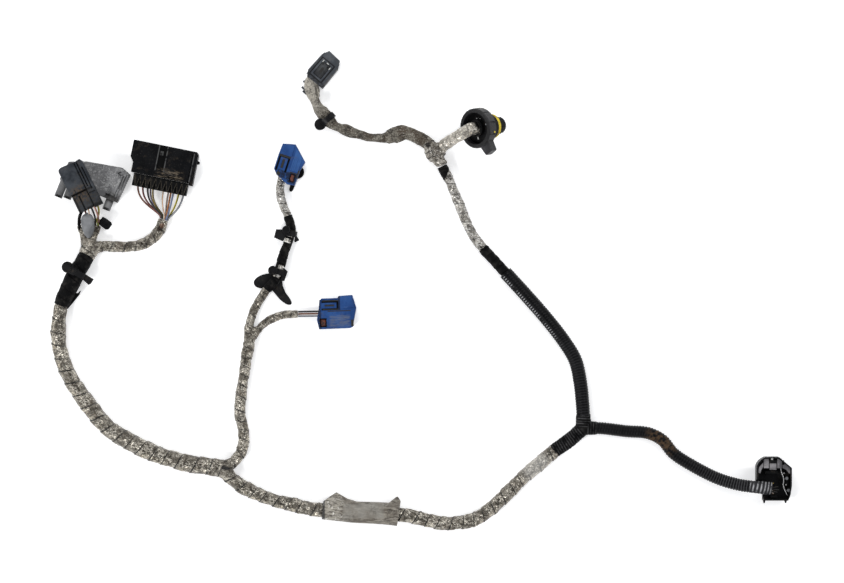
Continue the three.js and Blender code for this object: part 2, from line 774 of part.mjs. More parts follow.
const right_route = branchRoute(right_tube_diameter, right_junction_height, [
  [161, -136], [178, -136], [204, -139], [226, -141], [240, -148], [251, -161], [271, -174], [295, -186, 2],
  [315, -192, 7],
], [
  pointIn(right_group, -18, -7.4, right_entry_height),
  pointIn(right_group, -2, -9, right_entry_height),
]);
const upper_junction_height = restHeight(top_sleeve_diameter);
const bayonet_route = branchRoute(bayonet_sleeve_diameter, upper_junction_height, [
  [13, 140], [21, 145.5, 9], [31, 152, 23], [41, 157.6, 32],
], [
  pointIn(bayonet_group, 0, -6, 0),
  pointIn(bayonet_group, 0, bayonet_bore_depth, 0),
]);
const top_route = branchRoute(top_sleeve_diameter, upper_junction_height, [
  [13, 140], [5, 149], [-5, 155], [-17, 159], [-27, 157], [-38, 154], [-50, 154], [-65, 158],
  [-77, 162, 1.6], [-87, 166, 2.6], [-96, 175, 1.8], [-105, 187, 1.2], [-109, 199, 2.4],
], [
  pointIn(top_group, 0, top_entry_end - 7, topEntryHeight() + 0.4),
  pointIn(top_group, 0, top_entry_end - 4 * seat_gap, topEntryHeight()),
]);

function addBundle(name, route, from, to, diameter, finish, step_diameters = 2) {
  addPiece(name, tube(new Stretch(route, from, to), diameter, 10, step_diameters), finish);
}

function addBundles() {
  const g = seat_gap;
  addBundle('trunk_sleeve_left', left_trunk_route, left_tape_length + g, -wrap_reach - g,
    trunk_left_diameter, foil);
  addBundle('trunk_sleeve_right', right_trunk_route, wrap_reach + g, -long_wrap_reach - g,
    trunk_right_diameter, foil, 1.4);
  addBundle('blue_branch_sleeve', blue_branch_route, wrap_reach + g, -wrap_reach - g,
    blue_branch_diameter, foil);
  addBundle('blue_one_sleeve_lower', blue_one_route, blue_wrap_reach + g, blue_tape_start - g,
    blue_one_leg_diameter, foil);
  addBundle('blue_one_sleeve_upper', blue_one_route, blue_tape_start + blue_tape_length + g, 0,
    blue_one_leg_diameter, foil, 0.6);
  addBundle('blue_two_sleeve', blue_two_route, blue_wrap_reach + g, 0, blue_two_leg_diameter, foil);
  addBundle('black_connector_sleeve', black_leg_route, wrap_reach + g, 0, black_leg_diameter, foil);
  addBundle('corrugated_tube_upper', upper_route, wrap_reach + g, upper_tube_end - g,
    lower_tube_diameter, loom);
  addBundle('upper_sleeve', upper_route, upper_tube_end + upper_tape_length + g,
    -patch_from_junction - patch_length - g, upper_sleeve_diameter, foil);
  addBundle('corrugated_tube_right', right_route, wrap_reach + g, -wrap_from_right_end - g,
    right_tube_diameter, loom);
  addBundle('right_wire_wrap', right_route, -wrap_from_right_end, 0, right_tube_diameter, grey_tape, 0.5);
  addBundle('bayonet_sleeve', bayonet_route, wrap_reach + g, 0, bayonet_sleeve_diameter, foil, 0.6);
  addBundle('top_sleeve', top_route, wrap_reach + g, 0, top_sleeve_diameter, dirty_sleeve, 1);
}

// The loose end of the left tape, which stands out from the bundle as a stiff pointed flap.
function tapeFlap() {
  const { group, height } = stationOn(left_trunk_route, left_flap_at, -1);
  const edge = trunk_left_diameter / 2;
  const flap = moulding(outline([[edge - 2, -11], [edge + 3, -8], [edge + 10.4, 8], [edge + 10.2, 11],
    [edge + 8, 9.4], [edge - 2, -1]]), height - 3, height - 1.4, 0.2);
  group.updateMatrixWorld(true);
  harness.remove(group);
  return flap.applyMatrix4(group.matrixWorld);
}

function addTape() {
  const g = seat_gap;
  const left_wind = taped(left_trunk_route, wrap_reach + g, left_tape_length, trunk_left_diameter);
  addPiece('left_tape', joined(left_wind, tapeFlap()), tape);
  addPiece('blue_one_tape', taped(blue_one_route, blue_tape_start, blue_tape_start + blue_tape_length,
    blue_one_leg_diameter), tape);
  addPiece('upper_tube_tape', taped(upper_route, upper_tube_end, upper_tube_end + upper_tape_length,
    upper_sleeve_diameter), tape);
  addPiece('upper_tape_patch', taped(upper_route, -patch_from_junction - patch_length, -patch_from_junction,
    upper_sleeve_diameter), tape);
}

function addJunctions() {
  const reach = wrap_reach;
  junctionWrap('left_junction_wrap', [
    { route: left_trunk_route, reach, diameter: trunk_left_diameter },
    { route: black_leg_route, reach, diameter: black_leg_diameter },
    { route: grey_leg_route, reach, diameter: grey_leg_diameter },
  ], foil);
  junctionWrap('trunk_junction_wrap', [
    { route: right_trunk_route, reach, diameter: trunk_right_diameter },
    { route: blue_branch_route, reach, diameter: blue_branch_diameter },
    { route: left_trunk_route, from: -wrap_reach, reach: 0, diameter: trunk_left_diameter },
  ], foil);
  junctionWrap('blue_junction_wrap', [
    { route: blue_one_route, reach: blue_wrap_reach, diameter: blue_one_leg_diameter },
    { route: blue_two_route, reach: blue_wrap_reach, diameter: blue_two_leg_diameter },
    { route: blue_branch_route, from: -wrap_reach, reach: 0, diameter: blue_branch_diameter },
  ], foil);
  junctionWrap('right_junction_tape', [
    { route: upper_route, reach, diameter: lower_tube_diameter },
    { route: right_route, reach, diameter: right_tube_diameter },
    { route: right_trunk_route, from: -long_wrap_reach, reach: 0, diameter: trunk_right_diameter },
  ], tape);
  junctionWrap('upper_junction_wrap', [
    { route: top_route, reach, diameter: top_sleeve_diameter },
    { route: bayonet_route, reach, diameter: bayonet_sleeve_diameter },
    { route: upper_route, from: -patch_from_junction + seat_gap, reach: 0, diameter: upper_sleeve_diameter },
  ], foil, upper_knot_radius);
}

// Bare wires between a sleeve and its connector

function bezierWire(start, start_handle, end, end_handle) {
  return new THREE.CubicBezierCurve3(
    start,
    start.clone().add(start_handle),
    end.clone().add(end_handle),
    end,
  );
}

function wireTube(curve) {
  return new THREE.ExtrudeGeometry(roundSection(wire_diameter / 2, 8), {
    steps: 7,
    extrudePath: curve,
    bevelEnabled: false,
  });
}

function addBlackWires() {
  const colours = [0x5a3a30, 0x6b3b36, 0x1c1b1c, 0x4a4a8a, 0x8c7a2e, 0xc9c9c4, 0x6f5a48, 0xb5602a, 0xb7bccb,
    0xa89a2c, 0x4a4f58];
  const mouth = black_leg_route.getPointAt(1);
  const heading = black_leg_route.getTangentAt(1);
  const across = new THREE.Vector3(heading.y, -heading.x, 0);
  const reach = 14;
  black_used_cavities.forEach((place, k) => {
    const start = pointIn(black_group, place * black_pitch, -black_comb_length + cavity_depth - seat_gap,
      black_wire_height + rowHeight(k));
    const start_handle = pointIn(black_group, 0, -reach - 8, 0).sub(pointIn(black_group, 0, 0, 0));
    const middle = (black_used_cavities.length - 1) / 2;
    const end = mouth.clone().addScaledVector(heading, seat_gap);
    end.addScaledVector(across, (k - middle) * 0.76);
    end.z += rowHeight(k) * 0.86;
    const end_handle = heading.clone().multiplyScalar(reach * 0.55);
    addPiece(`black_wire_${k + 1}`, wireTube(bezierWire(start, start_handle, end, end_handle)),
      { color: colours[k], roughness: 0.5, metalness: 0 });
  });
}

// Wires that leave a sleeve side by side and share its short taped neck.
function neckedWires(route, diameter, neck_from, ends, spread) {
  const neck = tube(new Stretch(route, neck_from, 0), diameter, 10, 1, 2);
  const root = route.getPointAt(1 - 1.5 / route.getLength());
  const heading = route.getTangentAt(1);
  const across = new THREE.Vector3(heading.y, -heading.x, 0);
  const wires = ends.map(({ end, handle }, k) => {
    const start = root.clone().addScaledVector(across, (k - (ends.length - 1) / 2) * spread);
    start.z += (k % 2 ? 1 : -1) * wire_diameter * 0.55;
    return wireTube(bezierWire(start, heading.clone().multiplyScalar(9), end, handle));
  });
  return joined(neck, ...wires);
}

function addGreyWires() {
  const back = pointIn(slate_group, 0, -16, 0).sub(pointIn(slate_group, 0, 0, 0));
  const ends = slateExits().map(([x, z]) => ({
    end: pointIn(slate_group, x, cavity_depth - seat_gap, z),
    handle: back,
  }));
  const plug_back = pointIn(small_group, 0, -8, 0).sub(pointIn(small_group, 0, 0, 0));
  ends.push({ end: pointIn(small_group, 0, 3 - seat_gap, 4), handle: plug_back });
  const neck_from = wrap_reach + seat_gap;
  addPiece('grey_connector_wires', neckedWires(grey_leg_route, grey_leg_diameter, neck_from, ends, 2.3),
    grey_tape);
}

function addBlueTwoWires() {
  const inside = -14 - seat_gap;
  const height = restHeight(blue_two_leg_diameter) + 1.5;
  const mouth = blue_two_route.getPointAt(1);
  const heading = blue_two_route.getTangentAt(1);
  const across = new THREE.Vector3(heading.y, -heading.x, 0);
  const back = pointIn(blue_two_group, 0, -4, 0).sub(pointIn(blue_two_group, 0, 0, 0));
  const colours = [0x1c1a1a, 0x4d3229, 0x9fb0c4];
  for (let k = 0; k < colours.length; k += 1) {
    const shift = (k - 1) * (wire_diameter + 0.35);
    const start = mouth.clone().addScaledVector(heading, seat_gap).addScaledVector(across, shift);
    const end = pointIn(blue_two_group, 1 + shift, inside, height);
    const curve = bezierWire(start, heading.clone().multiplyScalar(4), end, back);
    addPiece(`blue_two_wire_${k + 1}`, wireTube(curve), { color: colours[k], roughness: 0.5, metalness: 0 });
  }
}

// Clips, label and wrap

function strapRing(radius, height, width) {
  const sides = 16;
  const inner = (radius + seat_gap) / Math.cos(Math.PI / sides);
  const outer = inner + strap_thickness;
  const ring = turned([[inner, -width / 2], [outer, -width / 2], [outer, width / 2], [inner, width / 2],
    [inner, -width / 2]], sides);
  return ring.translate(0, 0, height);
}

function strapSize(diameter) {
  return diameter / 2 + tape_thickness + strap_slack;
}

function addLeftClip() {
  const { group, height } = stationOn(left_trunk_route, left_clip_at, -1);
  const radius = strapSize(trunk_left_diameter);
  const top = height + radius + strap_thickness;
  const lug = moulding(outline([[radius, -3], [radius + 7, -4.5], [radius + 8.4, -2], [radius + 8.4, 3],
    [radius, 3]]), height - 5, height + 3, 0.6);
  const saddle = moulding(outline([[-radius - 3.4, -4], [-1, -4], [1, -1], [1, 4], [-radius - 3.4, 4]]),
    height + 2, top + 1.4, 0.8);
  const channel = rodAlongY(radius + 0.2, -8, 8, 0, height, 16);
  const bosses = [
    rodAlongZ(3, top, top + 3.2, -radius + 1, 0),
    rodAlongZ(2.6, top, top + 2.4, -radius + 7, 0.6),
  ];
  addPiece('left_clip', joined(strapRing(radius, height, strap_width), cut(joined(lug, saddle), channel),
    ...bosses), black_plastic, group);
}

function addBlueClips() {
  const radius = strapSize(blue_one_leg_diameter);
  const upper = stationOn(blue_one_route, blue_upper_clip_at);
  const top = upper.height + radius;
  const channel = rodAlongY(radius + 0.2, -12, 12, 0, upper.height, 16);
  const tab = moulding(outline([[-radius - 10, -7], [-radius - 1, -9], [0, -2], [0, 3], [-radius, 3],
    [-radius - 9.4, 1.6]]), upper.height - 2, upper.height + 3, 0.5);
  const arrow = moulding(outline([[0, -3], [radius + 1, -8], [radius + 5, -5], [radius + 1, -1], [0, 2]]),
    upper.height - 2, upper.height + 2, 0.4);
  const boss = rodAlongZ(3.6, upper.height + 2, top + 3.4, -radius + 0.6, 3);
  addPiece('blue_upper_clip', joined(strapRing(radius, upper.height, strap_width),
    cut(joined(tab, arrow, boss), channel)), black_plastic, upper.group);

  const lower = stationOn(blue_one_route, blue_lower_clip_at);
  const low_channel = rodAlongY(radius + 0.2, -20, 20, 0, lower.height, 16);
  const wing = new THREE.Shape();
  wing.moveTo(-5, -3);
  wing.quadraticCurveTo(-14, -6, -19, -12);
  wing.quadraticCurveTo(-23, -18, -18, -21);
  wing.quadraticCurveTo(-12, -23, -6, -19);
  wing.lineTo(-1, -19.5);
  wing.lineTo(9, -26);
  wing.quadraticCurveTo(20, -31, 22, -27);
  wing.quadraticCurveTo(22.5, -24, 13, -18);
  wing.lineTo(8, -12);
  wing.lineTo(4, -2);
  const plate = moulding(wing, floor_gap, 2.6, 0.4);
  const post = block(-radius - 3, -radius + 0.5, -7, 3, 1, lower.height + 4);
  const low_boss = rodAlongZ(4.4, lower.height + 1, lower.height + radius + 3.4, -radius - 0.6, -0.5);
  const side = moulding(outline([[radius - 1, -9], [radius + 3, -7], [radius + 3.4, 3], [radius - 1, 5]]),
    lower.height - 4, lower.height + 3, 0.5);
  addPiece('blue_lower_clip', joined(strapRing(radius, lower.height, strap_width),
    cut(joined(plate, post, low_boss, side), low_channel)), black_plastic, lower.group);
}

function addTopClip() {
  const { group, height } = stationOn(top_route, top_clip_at, -1);
  const radius = strapSize(top_sleeve_diameter - 2 * tape_thickness);
  const channel = rodAlongY(radius + 0.2, -12, 12, 0, height, 16);
  const disc = rodAlongZ(5.6, height - 3.4, height + 1, radius + 3, -1, 20);
  const knob = rodAlongZ(3, height + 2, height + radius + 2.6, -radius + 1.5, 0.5, 12);
  addPiece('top_clip', joined(strapRing(radius, height, strap_width), cut(joined(disc, knob), channel)),
    black_plastic, group);
}

function addLabel() {
  const curve = new Stretch(right_trunk_route, label_start, label_start + label_length);
  const half_height = label_height / 2;
  const half_width = label_width / 2;
  const bend = 5;
  const section = new THREE.Shape();
  section.moveTo(-half_height + bend, -half_width);
  section.lineTo(half_height - bend, -half_width);
  section.quadraticCurveTo(half_height, -half_width, half_height, -half_width + bend);
  section.lineTo(half_height, half_width - bend);
  section.quadraticCurveTo(half_height, half_width, half_height - bend, half_width);
  section.lineTo(-half_height + bend, half_width);
  section.quadraticCurveTo(-half_height, half_width, -half_height, half_width - bend);
  section.lineTo(-half_height, -half_width + bend);
  section.quadraticCurveTo(-half_height, -half_width, -half_height + bend, -half_width);
  const hole_sides = 14;
  const hole_radius = (trunk_right_diameter / 2 + entry_gap) / Math.cos(Math.PI / hole_sides);
  section.holes.push(new THREE.Path(roundSection(hole_radius, hole_sides).getPoints()));
  addPiece('trunk_label', new THREE.ExtrudeGeometry(section, {
    steps: 5,
    curveSegments: 3,
    extrudePath: curve,
    bevelEnabled: false,
  }), label_paper);
}

addConnectors();
addBundles();
addTape();
addJunctions();
addBlackWires();
addGreyWires();
addBlueTwoWires();
addLeftClip();
addBlueClips();
addTopClip();
addLabel();

export default harness;
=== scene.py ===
import math
from functools import partial

import bmesh
import bpy
import numpy as np
from mathutils import Matrix, Vector, noise


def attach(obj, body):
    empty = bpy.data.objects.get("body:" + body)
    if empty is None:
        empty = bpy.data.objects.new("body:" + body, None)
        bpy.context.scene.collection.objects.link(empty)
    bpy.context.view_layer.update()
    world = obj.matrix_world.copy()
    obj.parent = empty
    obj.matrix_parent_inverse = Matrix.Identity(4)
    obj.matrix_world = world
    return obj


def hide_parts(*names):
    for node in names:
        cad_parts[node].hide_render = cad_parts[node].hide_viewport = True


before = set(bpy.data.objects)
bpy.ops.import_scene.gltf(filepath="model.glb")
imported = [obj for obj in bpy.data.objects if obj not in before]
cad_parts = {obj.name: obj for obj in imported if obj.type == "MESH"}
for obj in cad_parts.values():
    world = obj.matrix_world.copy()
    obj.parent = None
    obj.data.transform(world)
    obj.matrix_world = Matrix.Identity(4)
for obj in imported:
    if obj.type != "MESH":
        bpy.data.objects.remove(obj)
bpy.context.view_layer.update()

MM = 0.001
HARNESS = "harness"
RING = "turning_ring"

# Clearances and stock, as the frame has them
SEAT_GAP = 0.0003
FLOOR_GAP = 0.0002
TAPE = 0.0005

TRUNK_LEFT = 0.017
TRUNK_RIGHT = 0.0135
BLUE_BRANCH = 0.011
BLUE_ONE_LEG = 0.0084
BLUE_TWO_LEG = 0.0072
BLACK_LEG = 0.0105
GREY_LEG = 0.015
LOWER_TUBE = 0.014
UPPER_SLEEVE = 0.0096
RIGHT_TUBE = 0.0126
TOP_SLEEVE = 0.012
BAYONET_SLEEVE = 0.012

LEFT_TAPE_END = 0.062
WRAP_REACH = 0.014
BARE_FOIL_REACH = 0.0075
LONG_WRAP_REACH = 0.038
BLUE_WRAP_REACH = 0.021
BLUE_TAPE_START = 0.060
BLUE_TAPE_LENGTH = 0.080
UPPER_TUBE_END = 0.180
UPPER_TAPE_LENGTH = 0.034
PATCH_LENGTH = 0.015
PATCH_FROM_JUNCTION = 0.016
WRAP_FROM_RIGHT_END = 0.022
LABEL_START = 0.112
LABEL_LENGTH = 0.076
RIDGE_PITCH = 0.0027
INDEX_TURN = 20
UPPER_SLIT = 0.63
RIGHT_SLIT = 0.25


# Camera straight above, stage and lamps

CAMERA_HEIGHT = 5.0
VIEW_WIDTH = 0.844
SENSOR_WIDTH = 36
FAR_CLIP = 60
FLOOR_REACH = 30
SKY_TONE = (0.94, 0.96, 1, 1)
SKY_STRENGTH = 0.42
# Each lamp's name, place, size and power
LAMPS = [
    ("key_lamp", (-1.4, -1.2, 1.5), 0.5, 30),
    ("fill_lamp", (1.5, 0.5, 1.7), 1.2, 16),
    ("back_lamp", (-0.5, 1.6, 1.5), 0.9, 18),
]


def stage():
    scene = bpy.context.scene
    camera_data = bpy.data.cameras.new("camera")
    camera_data.sensor_width = SENSOR_WIDTH
    camera_data.lens = SENSOR_WIDTH * CAMERA_HEIGHT / VIEW_WIDTH
    camera_data.clip_end = FAR_CLIP
    camera = bpy.data.objects.new("camera", camera_data)
    camera.location = (0, 0.0005, CAMERA_HEIGHT)
    scene.collection.objects.link(camera)
    scene.camera = camera
    scene.view_settings.view_transform = "Standard"

    mesh = bpy.data.meshes.new("floor")
    corners = [(-1, -1), (1, -1), (1, 1), (-1, 1)]
    mesh.from_pydata([(x * FLOOR_REACH, y * FLOOR_REACH, 0) for x, y in corners], [], [(0, 1, 2, 3)])
    floor = bpy.data.objects.new("floor", mesh)
    scene.collection.objects.link(floor)
    mesh.materials.append(floor_finish())

    world = bpy.data.worlds.new("studio")
    scene.world = world
    world.use_nodes = True
    sky = world.node_tree.nodes["Background"].inputs
    sky["Color"].default_value = SKY_TONE
    sky["Strength"].default_value = SKY_STRENGTH

    for name, place, size, power in LAMPS:
        lamp_data = bpy.data.lights.new(name, "AREA")
        lamp_data.energy = power
        lamp_data.size = size
        lamp = bpy.data.objects.new(name, lamp_data)
        lamp.location = place
        lamp.rotation_euler = Vector(place).to_track_quat("Z", "Y").to_euler()
        scene.collection.objects.link(lamp)


# Node graphs written as sums

class Signal:
    """A node's output that arithmetic can be written with."""

    def __init__(self, graph, socket):
        self.graph = graph
        self.socket = socket

    def sum(self, operation, *terms):
        return self.graph.node("ShaderNodeMath", {"operation": operation}, list(terms))

    def __add__(self, other):
        return self.sum("ADD", self, other)

    __radd__ = __add__

    def __sub__(self, other):
        return self.sum("SUBTRACT", self, other)

    def __rsub__(self, other):
        return self.sum("SUBTRACT", other, self)

    def __mul__(self, other):
        return self.sum("MULTIPLY", self, other)

    __rmul__ = __mul__

    def __truediv__(self, other):
        return self.sum("DIVIDE", self, other)

    def fraction(self):
        return self.sum("FRACT", self)

    def wave(self):
        return self.sum("SINE", self)

    def size(self):
        return self.sum("ABSOLUTE", self)

    def most(self, other):
        return self.sum("MAXIMUM", self, other)

    def band(self, low, high):
        return self.graph.node("ShaderNodeMapRange", {"interpolation_type": "SMOOTHSTEP"},
                               {"Value": self, "From Min": low, "From Max": high})


class Graph:
    """A shader or geometry tree under construction."""

    def __init__(self, tree):
        self.tree = tree
        tree.nodes.clear()

    def node(self, kind, settings=None, inputs=None, output=0):
        made = self.tree.nodes.new(kind)
        for name, value in (settings or {}).items():
            setattr(made, name, value)
        given = inputs or {}
        for place, value in given.items() if isinstance(given, dict) else enumerate(given):
            if isinstance(value, Signal):
                self.tree.links.new(value.socket, made.inputs[place])
            else:
                made.inputs[place].default_value = value
        return Signal(self, made.outputs[output]) if len(made.outputs) else None

    def place(self):
        return self.node("ShaderNodeTexCoord", output="Object")

    def wound(self):
        """Turns along a winding, and the share of a turn around it."""
        uv = self.node("ShaderNodeUVMap", {"uv_map": "winding"})
        turns = self.node("ShaderNodeSeparateXYZ", inputs=[uv])
        return turns, self.node("ShaderNodeSeparateXYZ", inputs=[uv], output=1)

    def cloud(self, size, detail=3.0, roughness=0.5, vector=None, distortion=0.0):
        """Noise with features of about that size in metres."""
        return self.node("ShaderNodeTexNoise", inputs={
            "Vector": vector or self.place(), "Scale": 1 / size, "Detail": detail, "Roughness": roughness,
            "Distortion": distortion})

    def threads(self, size, direction, width, core, roughness=0.6):
        """Thin wandering lines, drawn out by a direction's degrees and stretch."""
        wander = self.cloud(size, 3.0, roughness, self.drawn(*direction)) - 0.5
        return wander.size().band(width, core)

    def cells(self, size, feature="F1", output="Distance", vector=None):
        return self.node("ShaderNodeTexVoronoi", {"feature": feature}, {
            "Vector": vector or self.place(), "Scale": 1 / size}, output)

    def drawn(self, degrees, stretch):
        """The place, with what is put on it drawn out along a direction of the plan."""
        return self.node("ShaderNodeMapping", {"vector_type": "TEXTURE"}, {
            "Vector": self.place(), "Rotation": (0, 0, math.radians(degrees)), "Scale": (stretch, 1, 1)})

    def facets(self, size, vector):
        """Flat facets tilted at random: a random share for each, and its height in millimetres."""
        colour = self.cells(size, output="Color", vector=vector)
        centre = self.cells(size, output="Position", vector=vector)
        arm = self.node("ShaderNodeVectorMath", {"operation": "SUBTRACT"}, [vector, centre])
        lean = self.node("ShaderNodeVectorMath", {"operation": "SUBTRACT"}, [colour, (0.5, 0.5, 0.5)])
        height = self.node("ShaderNodeVectorMath", {"operation": "DOT_PRODUCT"}, [arm, lean], "Value")
        return self.axis(colour, 0), height * 1000

    def near(self, x, y, radius):
        """1 round a point of the plan, fading to 0 at the radius."""
        flat = self.node("ShaderNodeVectorMath", {"operation": "MULTIPLY"}, [self.place(), (1, 1, 0)])
        gap = self.node("ShaderNodeVectorMath", {"operation": "DISTANCE"}, [flat, (x, y, 0)], "Value")
        return gap.band(radius, radius * 0.45)

    def local(self, group):
        """The place in a connector's own millimetres."""
        return self.node("ShaderNodeMapping", {"vector_type": "TEXTURE"}, {
            "Vector": self.place(), "Location": group.origin, "Rotation": group.turn, "Scale": (MM, MM, MM)})

    def axis(self, vector, index):
        return self.node("ShaderNodeSeparateXYZ", inputs=[vector], output=index)

    def spot(self, group, x_range, y_range, z_range=(-90, 90), soft=0.6):
        """1 inside a box in a connector's own millimetres, with soft edges."""
        vector = self.local(group)
        inside = None
        for index, (low, high) in enumerate((x_range, y_range, z_range)):
            reach = self.axis(vector, index) - (low + high) / 2
            side = reach.size().band((high - low) / 2 + soft, (high - low) / 2 - soft)
            inside = side if inside is None else inside * side
        return inside

    def mix(self, share, first, second):
        return self.node("ShaderNodeMix", {"data_type": "RGBA"},
                         {0: share, 6: first, 7: second}, 2)

    def shift(self, vector, other, amount):
        scaled = self.node("ShaderNodeVectorMath", {"operation": "SCALE"}, {0: other, "Scale": amount})
        return self.node("ShaderNodeVectorMath", {"operation": "ADD"}, [vector, scaled])


def tone(red, green, blue):
    return (red, green, blue, 1)


def grey(level):
    return tone(level, level, level)


def shade(name, describe):
    """A material whose describing function returns the shader's sockets and what it is bumped by."""
    material = bpy.data.materials.new(name)
    material.use_nodes = True
    graph = Graph(material.node_tree)
    sockets, height, depth = describe(graph)
    if height is not None:
        sockets["Normal"] = graph.node("ShaderNodeBump", inputs={"Strength": 1.0, "Distance": depth,
                                                                 "Height": height})
    shader = graph.node("ShaderNodeBsdfPrincipled", inputs=sockets)
    graph.node("ShaderNodeOutputMaterial", inputs={"Surface": shader})
    return material


def floor_finish():
    material = bpy.data.materials.new("pale_floor")
    material.use_nodes = True
    graph = Graph(material.node_tree)
    light = graph.node("ShaderNodeLightPath", output="Is Camera Ray")
    glossy = graph.node("ShaderNodeLightPath", output="Is Glossy Ray")
    through = graph.node("ShaderNodeLightPath", output="Is Transmission Ray")
    seen = light.most(glossy).most(through)
    matt = graph.node("ShaderNodeBsdfDiffuse", inputs={"Color": grey(0.9)})
    glow = graph.node("ShaderNodeEmission", inputs={"Color": grey(1), "Strength": 0.42})
    both = graph.node("ShaderNodeAddShader", inputs=[matt, glow])
    shown = graph.node("ShaderNodeMixShader", inputs=[seen, matt, both])
    graph.node("ShaderNodeOutputMaterial", inputs={"Surface": shown})
    return material


def foil_tape(name, dark, clean, glint, brown=0.5, line_strength=1.0, crease_shade_strength=0.6, flank=0.0,
              stains_and_shade=()):
    """Aluminium foil tape wound with laps: facets, creases with painted shade, painted glints,
    lap lines and road dirt.

    flank is how strong the painted warm highlight is on the side that faces the lower left;
    stains_and_shade are round spots of stain and of painted shadow."""
    def describe(graph):
        turns, around = graph.wound()
        place = graph.place()
        stir = graph.node("ShaderNodeTexNoise", inputs={"Vector": place, "Scale": 220.0, "Detail": 2.0},
                          output="Color")
        bent = graph.shift(place, stir, 0.0022)
        wide, wide_height = graph.facets(0.0058, bent)
        small, small_height = graph.facets(0.0021, bent)
        fine = graph.cloud(0.0008, 4.0, 0.7)
        choice = wide.band(0.42, 0.58)
        hatch = graph.cloud(0.0011, 3.0, 0.65, graph.drawn(42, 4.5)) * choice
        hatch = hatch + graph.cloud(0.0011, 3.0, 0.65, graph.drawn(-35, 4.5)) * (1 - choice)
        broad = graph.cloud(0.022, 2.0)
        dirt = graph.cloud(0.009, 5.0, 0.7).band(0.52, 0.68)
        edge = (turns.fraction() - 0.5).size().band(0.45, 0.478)
        lap = edge * graph.cloud(0.008, 2.0).band(0.24, 0.36) * line_strength
        # thin_marks and crossing draw crease lines; crease darkens them as painted shade
        thin_marks = graph.threads(0.0022, (38, 3.2), 0.05, 0.012)
        crossing = graph.threads(0.0024, (-52, 3.0), 0.05, 0.012)
        crease = thin_marks.most(crossing) * graph.cloud(0.006, 2.0).band(0.36, 0.56)
        # bright is painted glints along thin lines, in the glint colour
        bright = graph.threads(0.0019, (-18, 3.0), 0.045, 0.01, 0.65)
        bright = bright * graph.cloud(0.007, 3.0, 0.6).band(0.42, 0.56)
        tint = graph.mix(wide * 0.35 + small * 0.55 + (hatch - 0.5) * 1.9 + (fine - 0.5) * 0.5, dark, clean)
        tint = graph.mix(broad.band(0.62, 0.42) * 0.45, tint, dark)
        tint = graph.mix(crease * crease_shade_strength, tint, tone(0.05, 0.043, 0.034))
        tint = graph.mix(bright * 0.85, tint, glint)
        # caught is a painted warm highlight on the flank that faces the lower left
        caught = (around - 0.11).size().band(0.11, 0.03) * graph.cloud(0.0016, 4.0, 0.7).band(0.5, 0.6)
        caught = caught * graph.cloud(0.011, 2.0).band(0.44, 0.58)
        tint = graph.mix(caught * flank, tint, tone(0.82, 0.73, 0.57))
        tint = graph.mix(dirt * brown, tint, tone(0.085, 0.062, 0.04))
        tint = graph.mix(lap * 0.97, tint, tone(0.006, 0.0055, 0.005))
        for x, y, radius, colour, strength in stains_and_shade:
            tint = graph.mix(graph.near(x, y, radius) * strength, tint, colour)
        roughness = 0.18 + fine * 0.22 + dirt * brown * 0.35
        height = wide_height * 0.8 + small_height * 0.8 + fine * 0.3 - crease * 0.12 - lap * 0.5
        return ({"Base Color": tint, "Metallic": 0.85 - dirt * brown * 0.5 - lap * 0.7,
                 "Roughness": roughness}, height, 0.001)
    return shade(name, describe)


def black_tape(name, base, dust=0.4, lap_strength=1.0, thread=0.0, shine=(0.07, 0.07, 0.072, 1)):
    """Cloth tape, with a shine on each lap where it is wound like thread."""
    def describe(graph):
        turns = graph.wound()[0]
        weave = graph.cloud(0.00035, 2.0)
        blotch = graph.cloud(0.006, 4.0, 0.6)
        edge = (turns.fraction() - 0.5).size().band(0.42, 0.49)
        crest = (turns.fraction() - 0.5).size().band(0.3, 0.05)
        tint = graph.mix(blotch.band(0.46, 0.72) * dust, base, tone(0.045, 0.041, 0.037))
        # crest mixed toward shine is a painted highlight on each lap
        tint = graph.mix(crest * blotch.band(0.35, 0.6) * thread, tint, shine)
        tint = graph.mix(edge * 0.6 * lap_strength, tint, grey(0.002))
        height = weave * 0.5 + blotch * 0.6 - edge * lap_strength + crest * thread
        return ({"Base Color": tint, "Roughness": 0.4 + blotch * 0.25, "Specular IOR Level": 0.05}, height,
                0.0006)
    return shade(name, describe)


def loom_plastic(name, crest_highlight, ticks, ringed, shine_from):
    """Corrugated tube: painted highlights on the crests beside the slit, and crests painted lighter where it
    isn't covered.

    ticks is the slit's share of the turn, ringed where along y the crests get more painted highlight,
    shine_from where along x."""
    def describe(graph):
        along = graph.node("ShaderNodeAttribute", {"attribute_name": "along"}, output="Fac")
        turn = graph.node("ShaderNodeAttribute", {"attribute_name": "turn"}, output="Fac")
        crest = (along / RIDGE_PITCH * (2 * math.pi)).wave().band(0.1, 0.9)
        fine = graph.cloud(0.0009, 3.0)
        blotch = graph.cloud(0.012, 4.0, 0.6)
        soil = graph.near(0.24, -0.147, 0.022) * graph.cloud(0.004, 4.0, 0.6).band(0.42, 0.6)
        slit_highlight = (turn - ticks).size().band(0.05, 0.025) * graph.cloud(0.012, 2.0).band(0.3, 0.5)
        shine = graph.axis(graph.place(), 0).band(shine_from, shine_from + 0.07)
        rings = graph.axis(graph.place(), 1).band(*ringed)
        tint = graph.mix(blotch.band(0.4, 0.75) * 0.5, tone(0.0015, 0.0015, 0.002), tone(0.006, 0.006, 0.007))
        # Crests are painted lighter as highlights: more where rings or shine are set, and most beside the
        # slit
        tint = graph.mix(crest * (crest_highlight + rings * 0.12 + shine * 0.5), tint, tone(0.075, 0.075, 0.08))
        tint = graph.mix(crest * slit_highlight * (1 - rings) * 0.9, tint, tone(0.34, 0.34, 0.35))
        tint = graph.mix(soil * 0.75, tint, tone(0.09, 0.055, 0.03))
        return ({"Base Color": tint, "Roughness": 0.24 + blotch * 0.2 + soil * 0.3,
                 "Specular IOR Level": 0.1}, fine * 0.6 + blotch * 0.3, 0.0003)
    return shade(name, describe)


